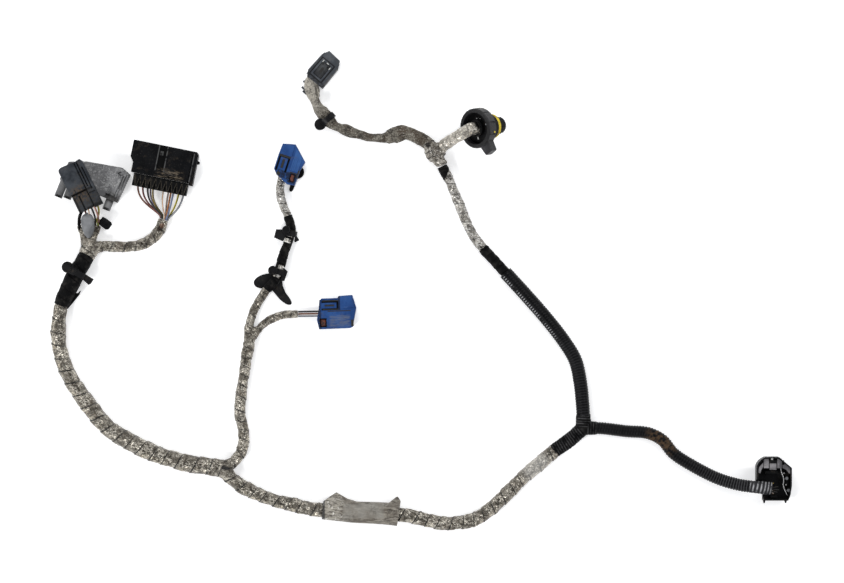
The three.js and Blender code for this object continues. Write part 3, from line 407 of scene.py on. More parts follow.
def braided_sleeve():
    """Flat woven sleeve: crossing strands, brown dirt, and painted shade along the folds and twists."""
    def describe(graph):
        turns, around = graph.wound()
        strands = 2 * math.pi
        left = (turns * 9 * strands + around * 16 * strands).wave()
        right = (turns * 9 * strands - around * 16 * strands).wave()
        weave = (left * right).band(-0.6, 0.6)
        soil = graph.cloud(0.013, 5.0, 0.62).band(0.42, 0.64)
        fleck = graph.cloud(0.0014, 4.0, 0.75)
        pale = graph.near(-0.107, 0.21, 0.036)
        folds = graph.cloud(0.006, 3.0, 0.6, distortion=1.5)
        uv = graph.node("ShaderNodeUVMap", {"uv_map": "winding"})
        lengthwise = graph.node("ShaderNodeMapping", inputs={"Vector": uv, "Scale": (0.35, 7.0, 1.0)})
        # fold_shade is painted shade in thin lines along the folds and at the twists
        fold_shade = (graph.cloud(1.0, 2.0, 0.55, lengthwise) - 0.5).size().band(0.035, 0.008)
        fold_shade = fold_shade * graph.cloud(0.011, 2.0).band(0.42, 0.56)
        for x, y, radius in ((-0.0315, 0.1605, 0.0045), (-0.061, 0.1555, 0.004), (-0.1045, 0.1895, 0.004)):
            fold_shade = fold_shade.most(graph.near(x, y, radius) * graph.cloud(0.002, 3.0).band(0.4, 0.55))
        tint = graph.mix(fleck.band(0.4, 0.6) * 0.75 + weave * 0.25, tone(0.05, 0.041, 0.03),
                         tone(0.37, 0.34, 0.28))
        tint = graph.mix(soil * 0.8 * (1 - pale), tint, tone(0.062, 0.041, 0.024))
        tint = graph.mix(pale * (0.35 + 0.5 * fleck.band(0.42, 0.56)), tint, tone(0.62, 0.58, 0.5))
        tint = graph.mix(fleck.band(0.585, 0.67) * 0.9, tint, tone(0.72, 0.68, 0.6))
        tint = graph.mix(fold_shade * 0.8, tint, tone(0.022, 0.016, 0.011))
        return ({"Base Color": tint, "Roughness": 0.6 + soil * 0.15, "Metallic": 0.15},
                weave * 0.4 + fleck * 0.8 + folds * 0.9 - fold_shade * 0.9, 0.001)
    return shade("braided_sleeve", describe)


def moulded_plastic(name, base, light, roughness=0.42, dust=0.4, soil=0.25, soil_tone=(0.1, 0.075, 0.05, 1),
                    gloss=0.2, marks=None):
    """Moulded plastic with a fine grain, handling marks, dust and soil.

    marks gives extra masks, colours and strengths for soil, painted shade and painted highlights
    that lie in known places."""
    def describe(graph):
        grain = graph.cloud(0.0007, 2.0)
        cloudy = graph.cloud(0.013, 4.0, 0.6)
        scratches = graph.cloud(0.0014, 3.0, 0.6, graph.drawn(52, 8)).band(0.61, 0.7)
        dirt = graph.cloud(0.008, 6.0, 0.72).band(0.54, 0.7)
        tint = graph.mix(cloudy.band(0.36, 0.7) * dust, base, light)
        tint = graph.mix(scratches * 0.35, tint, light)
        tint = graph.mix(dirt * soil, tint, soil_tone)
        for mask, colour, strength in (marks(graph) if marks else ()):
            tint = graph.mix(mask * strength, tint, colour)
        height = grain * 0.35 + scratches * 0.5 + dirt * 0.6
        return ({"Base Color": tint, "Roughness": roughness + cloudy * 0.16 + dirt * soil * 0.4,
                 "Specular IOR Level": gloss}, height, 0.00025)
    return shade(name, describe)


# Soil, dust, painted shade in hollows and painted highlights, where the connectors have them

def black_connector_marks(graph):
    spot = partial(graph.spot, black_group)
    speck = graph.cloud(0.0011, 4.0, 0.7)
    streak = graph.cloud(0.0016, 4.0, 0.65, graph.drawn(-14, 3.5))
    smear = spot((-4, 22), (0, 9), (22, 30), 3) * streak.band(0.48, 0.6)
    # hook and ribs are painted highlights; channel_shade is painted shade down the channel
    hook = spot((-4.6, -1), (21.8, 26.2), (22.8, 30), 0.2)
    thin_marks = spot((3, 16), (3, 8), (22, 30), 1.5) * graph.cloud(0.0006, 2.0).band(0.6, 0.68)
    channel_shade = spot((-5.4, 1.4), (9, 32), (20, 23.2), 0.3)
    rim = spot((-33, 34), (-1, 32), (23, 24.2), 0.3) * speck.band(0.6, 0.68)
    ribs = spot((-6.9, -5.7), (6, 32), (22, 30), 0.3)
    ribs = ribs + spot((1.7, 2.9), (6, 32), (22, 30), 0.3)
    ribs = ribs + spot((28.6, 29.8), (1, 30), (22, 30), 0.3)
    return [(channel_shade, grey(0.002), 0.9),
            (ribs * graph.cloud(0.004, 3.0).band(0.3, 0.5), grey(0.1), 0.65),
            (hook, grey(0.07), 0.7), (smear, tone(0.15, 0.12, 0.085), 0.75),
            (thin_marks, tone(0.28, 0.26, 0.23), 0.9), (rim, tone(0.07, 0.065, 0.06), 0.5)]


def black_comb_marks(graph):
    spot = partial(graph.spot, black_group)
    local = graph.local(black_group)
    across = (((graph.axis(local, 0) - 1.5) / 5.3 + 0.5).fraction() - 0.5).size() * 5.3
    edge = across + (graph.axis(local, 1) + 2.2) * 0.185
    outline = edge.size().band(0.75, 0.2) * spot((-27, 29), (-13, -2), (18, 30), 0.3)
    speck = graph.cloud(0.0012, 4.0, 0.7)
    # The pale outlines are dust; the near-black mark inside the pockets is painted shade
    return [(outline * speck.band(0.4, 0.6), tone(0.11, 0.095, 0.075), 0.6),
            (edge.band(0.1, -0.5) * spot((-27, 29), (-13, -2), (10, 30), 0.3),
             grey(0.002), 0.9)]


def slate_marks(graph):
    spot = partial(graph.spot, slate_group)
    speck = graph.cloud(0.002, 5.0, 0.7)
    brown = spot((-11, 5), (10, 26), (4, 30), 4) * speck.band(0.42, 0.58)
    low = spot((-13, 13), (-2, 19), (-5, 30), 1.5) * speck.band(0.4, 0.62)
    edge = spot((-12.6, 3.6), (18.6, 20.6), (9, 30), 0.4)
    # groove, slots and slant are painted shade in those hollows, and mouth is painted shade in the wire
    # opening
    groove = spot((4.0, 5.0), (0, 22), (6, 30), 0.3)
    slots = spot((6.0, 8.4), (30, 43), (8, 14.2), 0.3)
    slant = spot((5, 11), (18.5, 20.5), (6, 30), 0.5)
    mouth = spot((-3, 13), (-1, 3.2), (-5, 30), 0.8) * speck.band(0.3, 0.45)
    legs = spot((-12.5, -9.6), (-1, 17), (-5, 30), 0.4)
    legs = legs + spot((-5.4, -4.2), (-1, 17), (-5, 30), 0.3)
    dark = grey(0.004)
    return [(low, tone(0.03, 0.027, 0.023), 0.8), (brown, tone(0.08, 0.057, 0.037), 0.75), (edge, dark, 0.9),
            (groove, dark, 0.9), (slots, dark, 0.9), (slant, dark, 0.75), (legs, dark, 0.85),
            (mouth, dark, 0.9)]


def grey_marks(graph):
    spot = partial(graph.spot, grey_group)
    streak = graph.cloud(0.0035, 3.0, 0.6, distortion=2.0)
    face = spot((-58, 0), (6, 34), (15, 20), 2)
    rim = spot((-14, 2), (-2, 8), (-1, 20), 2) * graph.cloud(0.002, 4.0).band(0.4, 0.6)
    cross = graph.near(-0.3015, 0.117, 0.0045) * graph.cloud(0.0011, 2.0).band(0.46, 0.54)
    # lines are painted shade in the two grooves, and holes are painted shade in the ports' bores
    lines = spot((-1.5, -0.7), (13, 29), (15, 20), 0.25)
    lines = lines + spot((-4, -3.2), (13, 27), (15, 20), 0.25)
    edge = spot((-13, 2), (-2, 4.5), (-1, 20), 1.2)
    holes = sum(spot((x - 2.5, x + 2.5), (end - 0.6, end + 2.6), (8, 20), 0.5)
                for x, end in ((-57, -17), (-48.2, -15), (-8, -11)))
    return [(holes, grey(0.004), 0.95),
            (face * streak.band(0.53, 0.62), tone(0.36, 0.36, 0.355), 0.7),
            (face * streak.band(0.4, 0.3), tone(0.05, 0.05, 0.052), 0.7),
            (edge, tone(0.03, 0.028, 0.026), 0.7),
            (rim, tone(0.03, 0.028, 0.025), 0.7), (lines, grey(0.006), 0.92),
            (cross, grey(0.01), 0.95)]


def blue_marks(graph):
    one = partial(graph.spot, blue_one_group)
    two = partial(graph.spot, blue_two_group)
    speck = graph.cloud(0.0014, 4.0, 0.7)
    dark = tone(0.004, 0.005, 0.008)
    recess_one = one((-12.2, -0.3), (-10.2, 6.2), (6, 16.4), 0.3)
    side_one = one((-14, -9), (-14, 8), (-2, 16), 1.2) * speck.band(0.35, 0.6)
    seal_one = one((3.2, 11), (-18.5, -7.6), (10, 19), 0.5) * speck.band(0.3, 0.5)
    # ribs are painted highlights on the latch's ribs
    ribs = one((2.5, 10.5), (-6, 16), (16.9, 19), 0.3)
    recess_two = two((-11.7, -1.8), (-15.2, 2.2), (8, 19.4), 0.3)
    window_two = two((5.5, 15), (-18, -10), (12, 22), 0.4) * speck.band(0.36, 0.5)
    streak = graph.cloud(0.0011, 5.0, 0.75, graph.drawn(4, 9.0)).band(0.34, 0.6)
    scuff = two((3.5, 14.5), (-7, 13), (18, 22), 1.6) * streak
    rim_two = two((-16, 17), (-19, -15.6), (2, 22), 0.8) * speck.band(0.36, 0.5)
    foot_one = one((-9, 4), (-16, -8.4), (2, 18), 1) * speck.band(0.38, 0.52)
    seam = two((-16, -2), (2, 3.6), (18, 22), 0.4)
    return [(recess_one, dark, 0.96), (side_one, dark, 0.8), (seal_one, dark, 0.9),
            (ribs, tone(0.06, 0.16, 0.4), 0.4), (recess_two, dark, 0.96), (window_two, dark, 0.75),
            (seam, dark, 0.8), (rim_two, dark, 0.8), (foot_one, dark, 0.85),
            (scuff, tone(0.13, 0.145, 0.17), 0.55)]


def top_marks(graph):
    spot = partial(graph.spot, top_group)
    # recess is painted shade in the hollow, left is painted shade on the left side, rim is patchy painted
    # shade along the lower rim
    recess = spot((-8.2, 8.2), (-12, 9.8), (10, 20), 0.4)
    left = spot((-17, -10), (-16, 16), (-1, 20), 1.5)
    right = spot((11, 17), (-18, 12), (-1, 20), 1.5) * graph.cloud(0.006, 3.0).band(0.4, 0.6)
    rim = spot((-12, 13), (-17, -11), (2, 24), 1.2) * graph.cloud(0.002, 4.0).band(0.38, 0.55)
    return [(recess, grey(0.004), 0.92), (left, tone(0.02, 0.021, 0.023), 0.75),
            (right, tone(0.2, 0.18, 0.15), 0.4), (rim, grey(0.012), 0.8)]


def ring_marks(graph):
    # rear is painted shade on the ring's rear face, deep in the bore
    rear = graph.spot(bayonet_group, (-19, 19), (-2, 1.4), (-19, 19), 0.5)
    return [(rear, tone(0.004, 0.004, 0.0045), 0.85)]


def silicone(name, base, dark, grime=0.45):
    """Soft seal; grime is where in the noise its dark part begins."""
    def describe(graph):
        cloudy = graph.cloud(0.004, 4.0, 0.6)
        tint = graph.mix(cloudy.band(grime, grime + 0.2) * 0.9, base, dark)
        return {"Base Color": tint, "Roughness": 0.38 + cloudy * 0.2}, cloudy, 0.0003
    return shade(name, describe)


def wire_cover(name, base, stripe):
    """Wire insulation with a thin tracer stripe and grime."""
    def describe(graph):
        around = graph.wound()[1]
        line = (around - 0.3).size().band(0.09, 0.05)
        grime = graph.cloud(0.003, 4.0, 0.6).band(0.45, 0.75)
        tint = graph.mix(line, base, stripe)
        tint = graph.mix(grime * 0.5, tint, tone(0.045, 0.035, 0.025))
        return ({"Base Color": tint, "Roughness": 0.36 + grime * 0.3, "Specular IOR Level": 0.3},
                grime, 0.00015)
    return shade(name, describe)


def worn_label():
    """Thin warm grey film over foil.

    It is crinkled and pale at one end, smooth along the middle and dark where it ends."""
    def describe(graph):
        place = graph.place()
        along = graph.axis(place, 0)
        across = graph.axis(place, 1)
        fine = graph.cloud(0.0015, 3.0, 0.6)
        soil = graph.cloud(0.013, 5.0, 0.65).band(0.4, 0.64)
        film = graph.cloud(0.0021, 5.0, 0.72, graph.drawn(-4, 3.5))
        pale = along.band(-0.074, -0.088)
        panel = (along + 0.0585).size().band(0.0215, 0.019) * (across + 0.2185).size().band(0.0078, 0.0068)
        crinkle_line = graph.threads(0.0032, (48, 2.5), 0.035, 0.01)
        glint = crinkle_line * graph.cloud(0.006, 2.0).band(0.5, 0.6) * pale
        shadow_line = graph.threads(0.003, (62, 3.0), 0.03, 0.008)
        shadow_line = shadow_line * graph.cloud(0.007, 2.0).band(0.52, 0.6)
        end = (along + 0.0985).size().band(0.0021, 0.0012)
        tint = graph.mix(film.band(0.38, 0.62), tone(0.062, 0.052, 0.04), tone(0.29, 0.265, 0.222))
        tint = graph.mix(pale * film.band(0.46, 0.58) * 0.7, tint, tone(0.37, 0.345, 0.29))
        tint = graph.mix(panel * 0.7, tint, tone(0.25, 0.238, 0.21))
        tint = graph.mix(soil * 0.5 * (1 - pale * 0.6), tint, tone(0.1, 0.08, 0.056))
        tint = graph.mix(shadow_line * (1 - panel) * 0.7, tint, tone(0.05, 0.042, 0.032))
        tint = graph.mix(glint * 0.9, tint, tone(0.9, 0.87, 0.8))
        tint = graph.mix(end * 0.9, tint, tone(0.012, 0.011, 0.01))
        return ({"Base Color": tint, "Roughness": 0.38 + fine * 0.2, "Coat Weight": 0.2 * pale},
                film * 0.5 + fine * 0.4 - shadow_line * 0.5, 0.0007)
    return shade("worn_label", describe)


def bright_steel():
    def describe(graph):
        brushed = graph.node("ShaderNodeMapping", inputs={"Vector": graph.place(), "Scale": (1.0, 1.0, 0.08)})
        lines = graph.cloud(0.0006, 2.0, 0.5, brushed)
        tint = graph.mix(lines, grey(0.42), tone(0.68, 0.68, 0.67))
        return {"Base Color": tint, "Metallic": 1.0, "Roughness": 0.25 + lines * 0.2}, lines, 0.0001
    return shade("bright_steel", describe)


# Near-black stand-in for the shade inside the open ends of sleeves and wires and in the blue latches' slots:
# painted shade; it also colours the top latch's window plate
def mouth_shade():
    def describe(graph):
        lint = graph.cloud(0.001, 2.0)
        return {"Base Color": graph.mix(lint, grey(0.006), tone(0.03, 0.028, 0.026)),
                "Roughness": 0.9}, lint, 0.0005
    return shade("mouth_shade", describe)


# Routes

def rest_height(diameter):
    return diameter / 2 + TAPE + FLOOR_GAP


def lifted(diameter, first_height, points, tail=()):
    """Points are x, y and how far the bundle is lifted over its resting height there."""
    places = []
    for i, point in enumerate(points):
        lift = point[2] if len(point) > 2 else 0
        places.append((point[0], point[1], first_height if i == 0 else rest_height(diameter) + lift))
    return places + [tuple(p) for p in tail]


class Route:
    """A smooth centripetal line through points, measured along its length."""

    def __init__(self, points, steps=24):
        p = np.array(points, float)
        p = np.vstack([2 * p[0] - p[1], p, 2 * p[-1] - p[-2]])
        t = np.linspace(0, 1, steps, endpoint=False)[:, None]
        parts = []
        for a, b, c, d in zip(p, p[1:], p[2:], p[3:]):
            before, here, after = (math.sqrt(np.linalg.norm(v)) for v in (b - a, c - b, d - c))
            leave = ((b - a) / before - (c - a) / (before + here) + (c - b) / here) * here
            arrive = ((c - b) / here - (d - b) / (here + after) + (d - c) / after) * here
            parts.append((2 * t**3 - 3 * t**2 + 1) * b + (t**3 - 2 * t**2 + t) * leave
                         + (3 * t**2 - 2 * t**3) * c + (t**3 - t**2) * arrive)
        self.points = np.vstack(parts + [p[-2:-1]])
        gaps = np.linalg.norm(np.diff(self.points, axis=0), axis=1)
        self.marks = np.concatenate([[0], np.cumsum(gaps)])
        self.length = self.marks[-1]

    def at(self, mark):
        mark = np.asarray(mark, float)
        return np.stack([np.interp(mark, self.marks, self.points[:, k]) for k in range(3)], -1)

    def stretch(self, start, end, spacing):
        """Even points between two marks, with a mark below zero counted from the far end."""
        start = self.length + start if start < 0 else start
        end = self.length + end if end <= 0 else end
        count = max(4, round((end - start) / spacing))
        return self.at(np.linspace(start, end, count + 1))

    def heading(self, mark):
        ahead = self.at(min(mark + 0.0005, self.length)) - self.at(max(mark - 0.0005, 0))
        return ahead / np.linalg.norm(ahead)


class Group:
    """A connector's own frame in millimetres, its +Y towards the mating end."""

    def __init__(self, x, y, z, degrees, tilt=0):
        self.origin = (x * MM, y * MM, z * MM)
        self.turn = (math.radians(tilt), 0, math.radians(degrees))
        turn = Matrix.Rotation(self.turn[2], 4, "Z") @ Matrix.Rotation(self.turn[0], 4, "X")
        self.matrix = Matrix.Translation(self.origin) @ turn @ Matrix.Scale(MM, 4)

    def point(self, x, y, z):
        return np.array(self.matrix @ Vector((x, y, z)))

    def way(self, x, y, z):
        return self.point(x, y, z) - self.point(0, 0, 0)


black_group = Group(-260.8, 114.0, 0, -11.5)
slate_group = Group(-329, 82.5, 17.3, 25.9)
grey_group = Group(-304, 89, 0, -22)
small_group = Group(-321, 72, 4, -127)
blue_one_group = Group(-132, 128, 3.3, -18)
blue_two_group = Group(-85, -20, 0, -88)
top_group = Group(-99, 222, 0, -40)
right_group = Group(350.5, -187, 0, 0)
bayonet_group = Group(52.4, 162.4, 33.7, -80.5, -47.3)

left_height = rest_height(TRUNK_LEFT)
blue_one_entry = rest_height(BLUE_ONE_LEG) / MM + 1.3
right_entry = 12 + 0.3 + RIGHT_TUBE / MM / 2
top_entry = rest_height(TOP_SLEEVE) / MM + 2.6
upper_drop = (UPPER_SLEEVE - LOWER_TUBE) / 2

left_trunk = Route(lifted(TRUNK_LEFT, left_height, [
    (-0.332, 0.042), (-0.338, 0.030, 0.002), (-0.346, 0.017, 0.0024), (-0.353, 0.002, 0.002),
    (-0.360, -0.014), (-0.363, -0.038), (-0.360, -0.064), (-0.349, -0.089), (-0.333, -0.113),
    (-0.312, -0.136), (-0.287, -0.152), (-0.262, -0.163), (-0.232, -0.171), (-0.200, -0.176)]))
right_trunk = Route(lifted(TRUNK_RIGHT, left_height, [
    (-0.200, -0.176), (-0.186, -0.190), (-0.162, -0.203), (-0.131, -0.212), (-0.106, -0.217, 0.0014),
    (-0.072, -0.219, 0.0016), (-0.028, -0.221, 0.0014), (0.008, -0.228), (0.031, -0.231), (0.056, -0.225),
    (0.075, -0.211), (0.095, -0.191), (0.114, -0.174), (0.130, -0.160), (0.146, -0.149), (0.161, -0.136)]))
blue_branch = Route(lifted(BLUE_BRANCH, left_height, [
    (-0.200, -0.176), (-0.186, -0.168), (-0.179, -0.155), (-0.178, -0.140), (-0.182, -0.120),
    (-0.180, -0.098), (-0.177, -0.076), (-0.173, -0.053)]))
blue_one = Route(lifted(BLUE_ONE_LEG, rest_height(BLUE_BRANCH), [
    (-0.173, -0.053), (-0.173, -0.038), (-0.169, -0.021), (-0.162, -0.008, 0.001), (-0.155, 0.002, 0.003),
    (-0.147, 0.011, 0.0034), (-0.142, 0.024, 0.0024), (-0.138, 0.038, 0.0016), (-0.133, 0.052, 0.0022),
    (-0.131, 0.064, 0.0016), (-0.134, 0.076), (-0.138, 0.085), (-0.141, 0.096, 0.001),
    (-0.1415, 0.105, 0.0026)],
    [blue_one_group.point(-3, -16, blue_one_entry), blue_one_group.point(-3, -10.3, blue_one_entry)]))
blue_two = Route(lifted(BLUE_TWO_LEG, rest_height(BLUE_BRANCH), [
    (-0.173, -0.053), (-0.166, -0.040), (-0.154, -0.029), (-0.139, -0.023), (-0.124, -0.022)]))
black_leg = Route(lifted(BLACK_LEG, left_height, [
    (-0.332, 0.042), (-0.317, 0.046), (-0.300, 0.045), (-0.282, 0.047), (-0.268, 0.055), (-0.261, 0.064),
    (-0.258, 0.072)]))
grey_leg = Route(lifted(GREY_LEG, left_height, [(-0.332, 0.042), (-0.333, 0.052), (-0.334, 0.064)]))
upper_branch = Route(lifted(LOWER_TUBE, rest_height(LOWER_TUBE), [
    (0.161, -0.136), (0.161, -0.123), (0.160, -0.108), (0.158, -0.090), (0.153, -0.068), (0.141, -0.048),
    (0.123, -0.025), (0.101, 0.000), (0.079, 0.024), (0.058, 0.047, upper_drop / 2),
    (0.049, 0.060, upper_drop), (0.041, 0.078, upper_drop), (0.034, 0.095, upper_drop),
    (0.027, 0.112, upper_drop), (0.020, 0.126, upper_drop / 2), (0.013, 0.140, upper_drop / 2)]))
right_branch = Route(lifted(RIGHT_TUBE, rest_height(LOWER_TUBE), [
    (0.161, -0.136), (0.178, -0.136), (0.204, -0.139), (0.226, -0.141), (0.240, -0.148), (0.251, -0.161),
    (0.271, -0.174), (0.295, -0.186, 0.002), (0.315, -0.192, 0.007)],
    [right_group.point(-18, -7.4, right_entry), right_group.point(-2, -9, right_entry)]))
bayonet_leg = Route(lifted(BAYONET_SLEEVE, rest_height(TOP_SLEEVE), [
    (0.013, 0.140), (0.021, 0.1455, 0.009), (0.031, 0.152, 0.023), (0.041, 0.1576, 0.032)],
    [bayonet_group.point(0, -6, 0), bayonet_group.point(0, 4, 0)]))
top_branch = Route(lifted(TOP_SLEEVE, rest_height(TOP_SLEEVE), [
    (0.013, 0.140), (0.005, 0.149), (-0.005, 0.155), (-0.017, 0.159), (-0.027, 0.157), (-0.038, 0.154),
    (-0.050, 0.154), (-0.065, 0.158), (-0.077, 0.162, 0.0016), (-0.087, 0.166, 0.0026),
    (-0.096, 0.175, 0.0018), (-0.105, 0.187, 0.0012), (-0.109, 0.199, 0.0024)],
    [top_group.point(0, -17, top_entry + 0.4), top_group.point(0, -11.2, top_entry)]))


stage()

finishes = {
    "foil": foil_tape("foil_tape", tone(0.078, 0.068, 0.053), tone(0.385, 0.355, 0.3), tone(0.95, 0.89, 0.77),
                      crease_shade_strength=0.75, flank=0.75,
                      stains_and_shade=[(0.114, -0.174, 0.02, tone(0.62, 0.6, 0.56), 0.5),
                              (-0.262, 0.063, 0.004, tone(0.02, 0.012, 0.007), 0.9),
                              (-0.2595, 0.0665, 0.0035, tone(0.12, 0.05, 0.025), 0.7)]),
    "clean_foil": foil_tape("clean_foil_tape", tone(0.14, 0.129, 0.112), tone(0.84, 0.805, 0.74),
                            tone(0.96, 0.94, 0.9), 0.3, 0.7, 0.9),
    # The warm foil's near-black spot is a painted shadow where the sleeve goes into the ring
    "warm_foil": foil_tape("warm_foil_tape", tone(0.33, 0.305, 0.26), tone(0.9, 0.84, 0.74),
                           tone(1, 0.95, 0.86), 0.15, 0.5, 0.6, 0.9,
                           [(0.0575, 0.1675, 0.0085, tone(0.012, 0.011, 0.01), 0.97)]),
    "brown_foil": foil_tape("dirty_foil_tape", tone(0.09, 0.079, 0.062), tone(0.55, 0.51, 0.45),
                            tone(0.85, 0.81, 0.74), 0.5, 0.9, 0.9, 0,
                            [(0.006, 0.1465, 0.0035, tone(0.008, 0.007, 0.006), 0.95)]),
    "tape": black_tape("black_cloth_tape", tone(0.003, 0.003, 0.0033)),
    "ringed_tape": black_tape("ringed_tape", tone(0.003, 0.003, 0.0033), 0.3, 1.0, 0.9),
    "ringed_grey": black_tape("ringed_grey_wrap", tone(0.04, 0.04, 0.043), 0.2, 1.0, 1.0,
                              tone(0.42, 0.42, 0.43)),
    "upper_loom": loom_plastic("upper_loom_plastic", 0.05, UPPER_SLIT, (-0.03, -0.06), 9),
    "right_loom": loom_plastic("right_loom_plastic", 0.06, RIGHT_SLIT, (8, 9), 0.25),
    "braid": braided_sleeve(),
    "black": moulded_plastic("black_moulding", tone(0.003, 0.0032, 0.0036), tone(0.012, 0.012, 0.013), 0.36,
                             gloss=0.09),
    "black_marked": moulded_plastic("black_housing_moulding", tone(0.0025, 0.0027, 0.0033),
                                    tone(0.009, 0.0095, 0.011), 0.34, gloss=0.07,
                                    marks=black_connector_marks),
    "black_comb": moulded_plastic("black_comb_moulding", tone(0.0025, 0.0027, 0.003), grey(0.01),
                                  gloss=0.06, marks=black_comb_marks),
    "ring": moulded_plastic("ring_moulding", tone(0.011, 0.0105, 0.012), tone(0.06, 0.058, 0.064), 0.4,
                            gloss=0.35, marks=ring_marks),
    "slate": moulded_plastic("slate_moulding", tone(0.014, 0.017, 0.022), tone(0.053, 0.059, 0.068),
                             0.36, 0.8, 0.35, marks=slate_marks),
    "top_slate": moulded_plastic("top_slate_moulding", tone(0.04, 0.045, 0.053), tone(0.1, 0.107, 0.118),
                                 0.38, 0.7, 0.2, marks=top_marks),
    "latch_slate": moulded_plastic("latch_moulding", tone(0.022, 0.023, 0.025), tone(0.075, 0.077, 0.08),
                                   0.34, 0.8, 0.4),
    "clip": moulded_plastic("clip_moulding", tone(0.0035, 0.0035, 0.004), tone(0.014, 0.014, 0.015), 0.3, 0.7,
                            gloss=0.16),
    "grey": moulded_plastic("grey_moulding", tone(0.12, 0.12, 0.123), tone(0.225, 0.225, 0.227),
                            0.4, 0.7, 0.25, marks=grey_marks),
    "blue": moulded_plastic("blue_moulding", tone(0.008, 0.04, 0.155), tone(0.026, 0.088, 0.27), 0.38, 0.6,
                            0.25, marks=blue_marks),
    "orange": silicone("orange_silicone", tone(0.13, 0.03, 0.016), tone(0.006, 0.005, 0.005), 0.38),
    "yellow": silicone("yellow_silicone", tone(0.72, 0.55, 0.012), tone(0.3, 0.2, 0.01)),
    "scuffed_grey": moulded_plastic("scuffed_grey_moulding", tone(0.07, 0.067, 0.071),
                                    tone(0.27, 0.26, 0.268), 0.4, 0.9, 0.35),
    "grey_wrap": moulded_plastic("grey_wrap", tone(0.12, 0.125, 0.13), tone(0.26, 0.265, 0.275),
                                 0.5, 0.7, 0.3),
    "label": worn_label(),
    "steel": bright_steel(),
    "mouth": mouth_shade(),
    # pale_dot colours painted glints on the top lock and the plug, and a disc standing in for the lit floor
    # seen through the right housing's eyelet
    "pale_dot": silicone("pale_mark", tone(0.75, 0.75, 0.72), tone(0.5, 0.5, 0.48)),
}


# Meshes

def add_piece(name, mesh, materials, replaces=(), body=HARNESS):
    piece = bpy.data.objects.new(name, mesh)
    mesh.name = name
    bpy.context.scene.collection.objects.link(piece)
    mesh.materials.clear()
    for material in materials:
        mesh.materials.append(finishes[material] if isinstance(material, str) else material)
    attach(piece, body)
    if replaces:
        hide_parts(*replaces)
    return piece


def finished(bm, smooth_degrees=40):
    """Turns a working mesh into a stored one, its faces outwards and its hard edges marked."""
    if bm.calc_volume(signed=True) < 0:
        bmesh.ops.reverse_faces(bm, faces=bm.faces)
    limit = math.radians(smooth_degrees)
    for face in bm.faces:
        face.smooth = True
    for edge in bm.edges:
        edge.smooth = len(edge.link_faces) == 2 and edge.calc_face_angle(0) < limit
    mesh = bpy.data.meshes.new("work")
    bm.to_mesh(mesh)
    bm.free()
    return mesh


def side_and_up(line):
    ahead = np.gradient(line, axis=0)
    ahead /= np.linalg.norm(ahead, axis=1)[:, None]
    side = np.cross(ahead, [0, 0, 1])
    side /= np.linalg.norm(side, axis=1)[:, None]
    return side, np.cross(side, ahead)


def crinkle(points, size, seed):
    """Hard-edged noise from 0 to 1 at each point."""
    offset = Vector((seed * 7.3, seed * 3.1, seed * 5.7))
    return np.array([noise.turbulence(Vector(p) / size + offset, 3, True, noise_basis="PERLIN_ORIGINAL")
                     for p in points])


def swell(points, size, seed):
    """Smooth noise from -1 to 1 at each point."""
    offset = Vector((seed * 2.9, seed * 8.3, seed * 1.7))
    return np.array([noise.noise(Vector(p) / size + offset) for p in points])


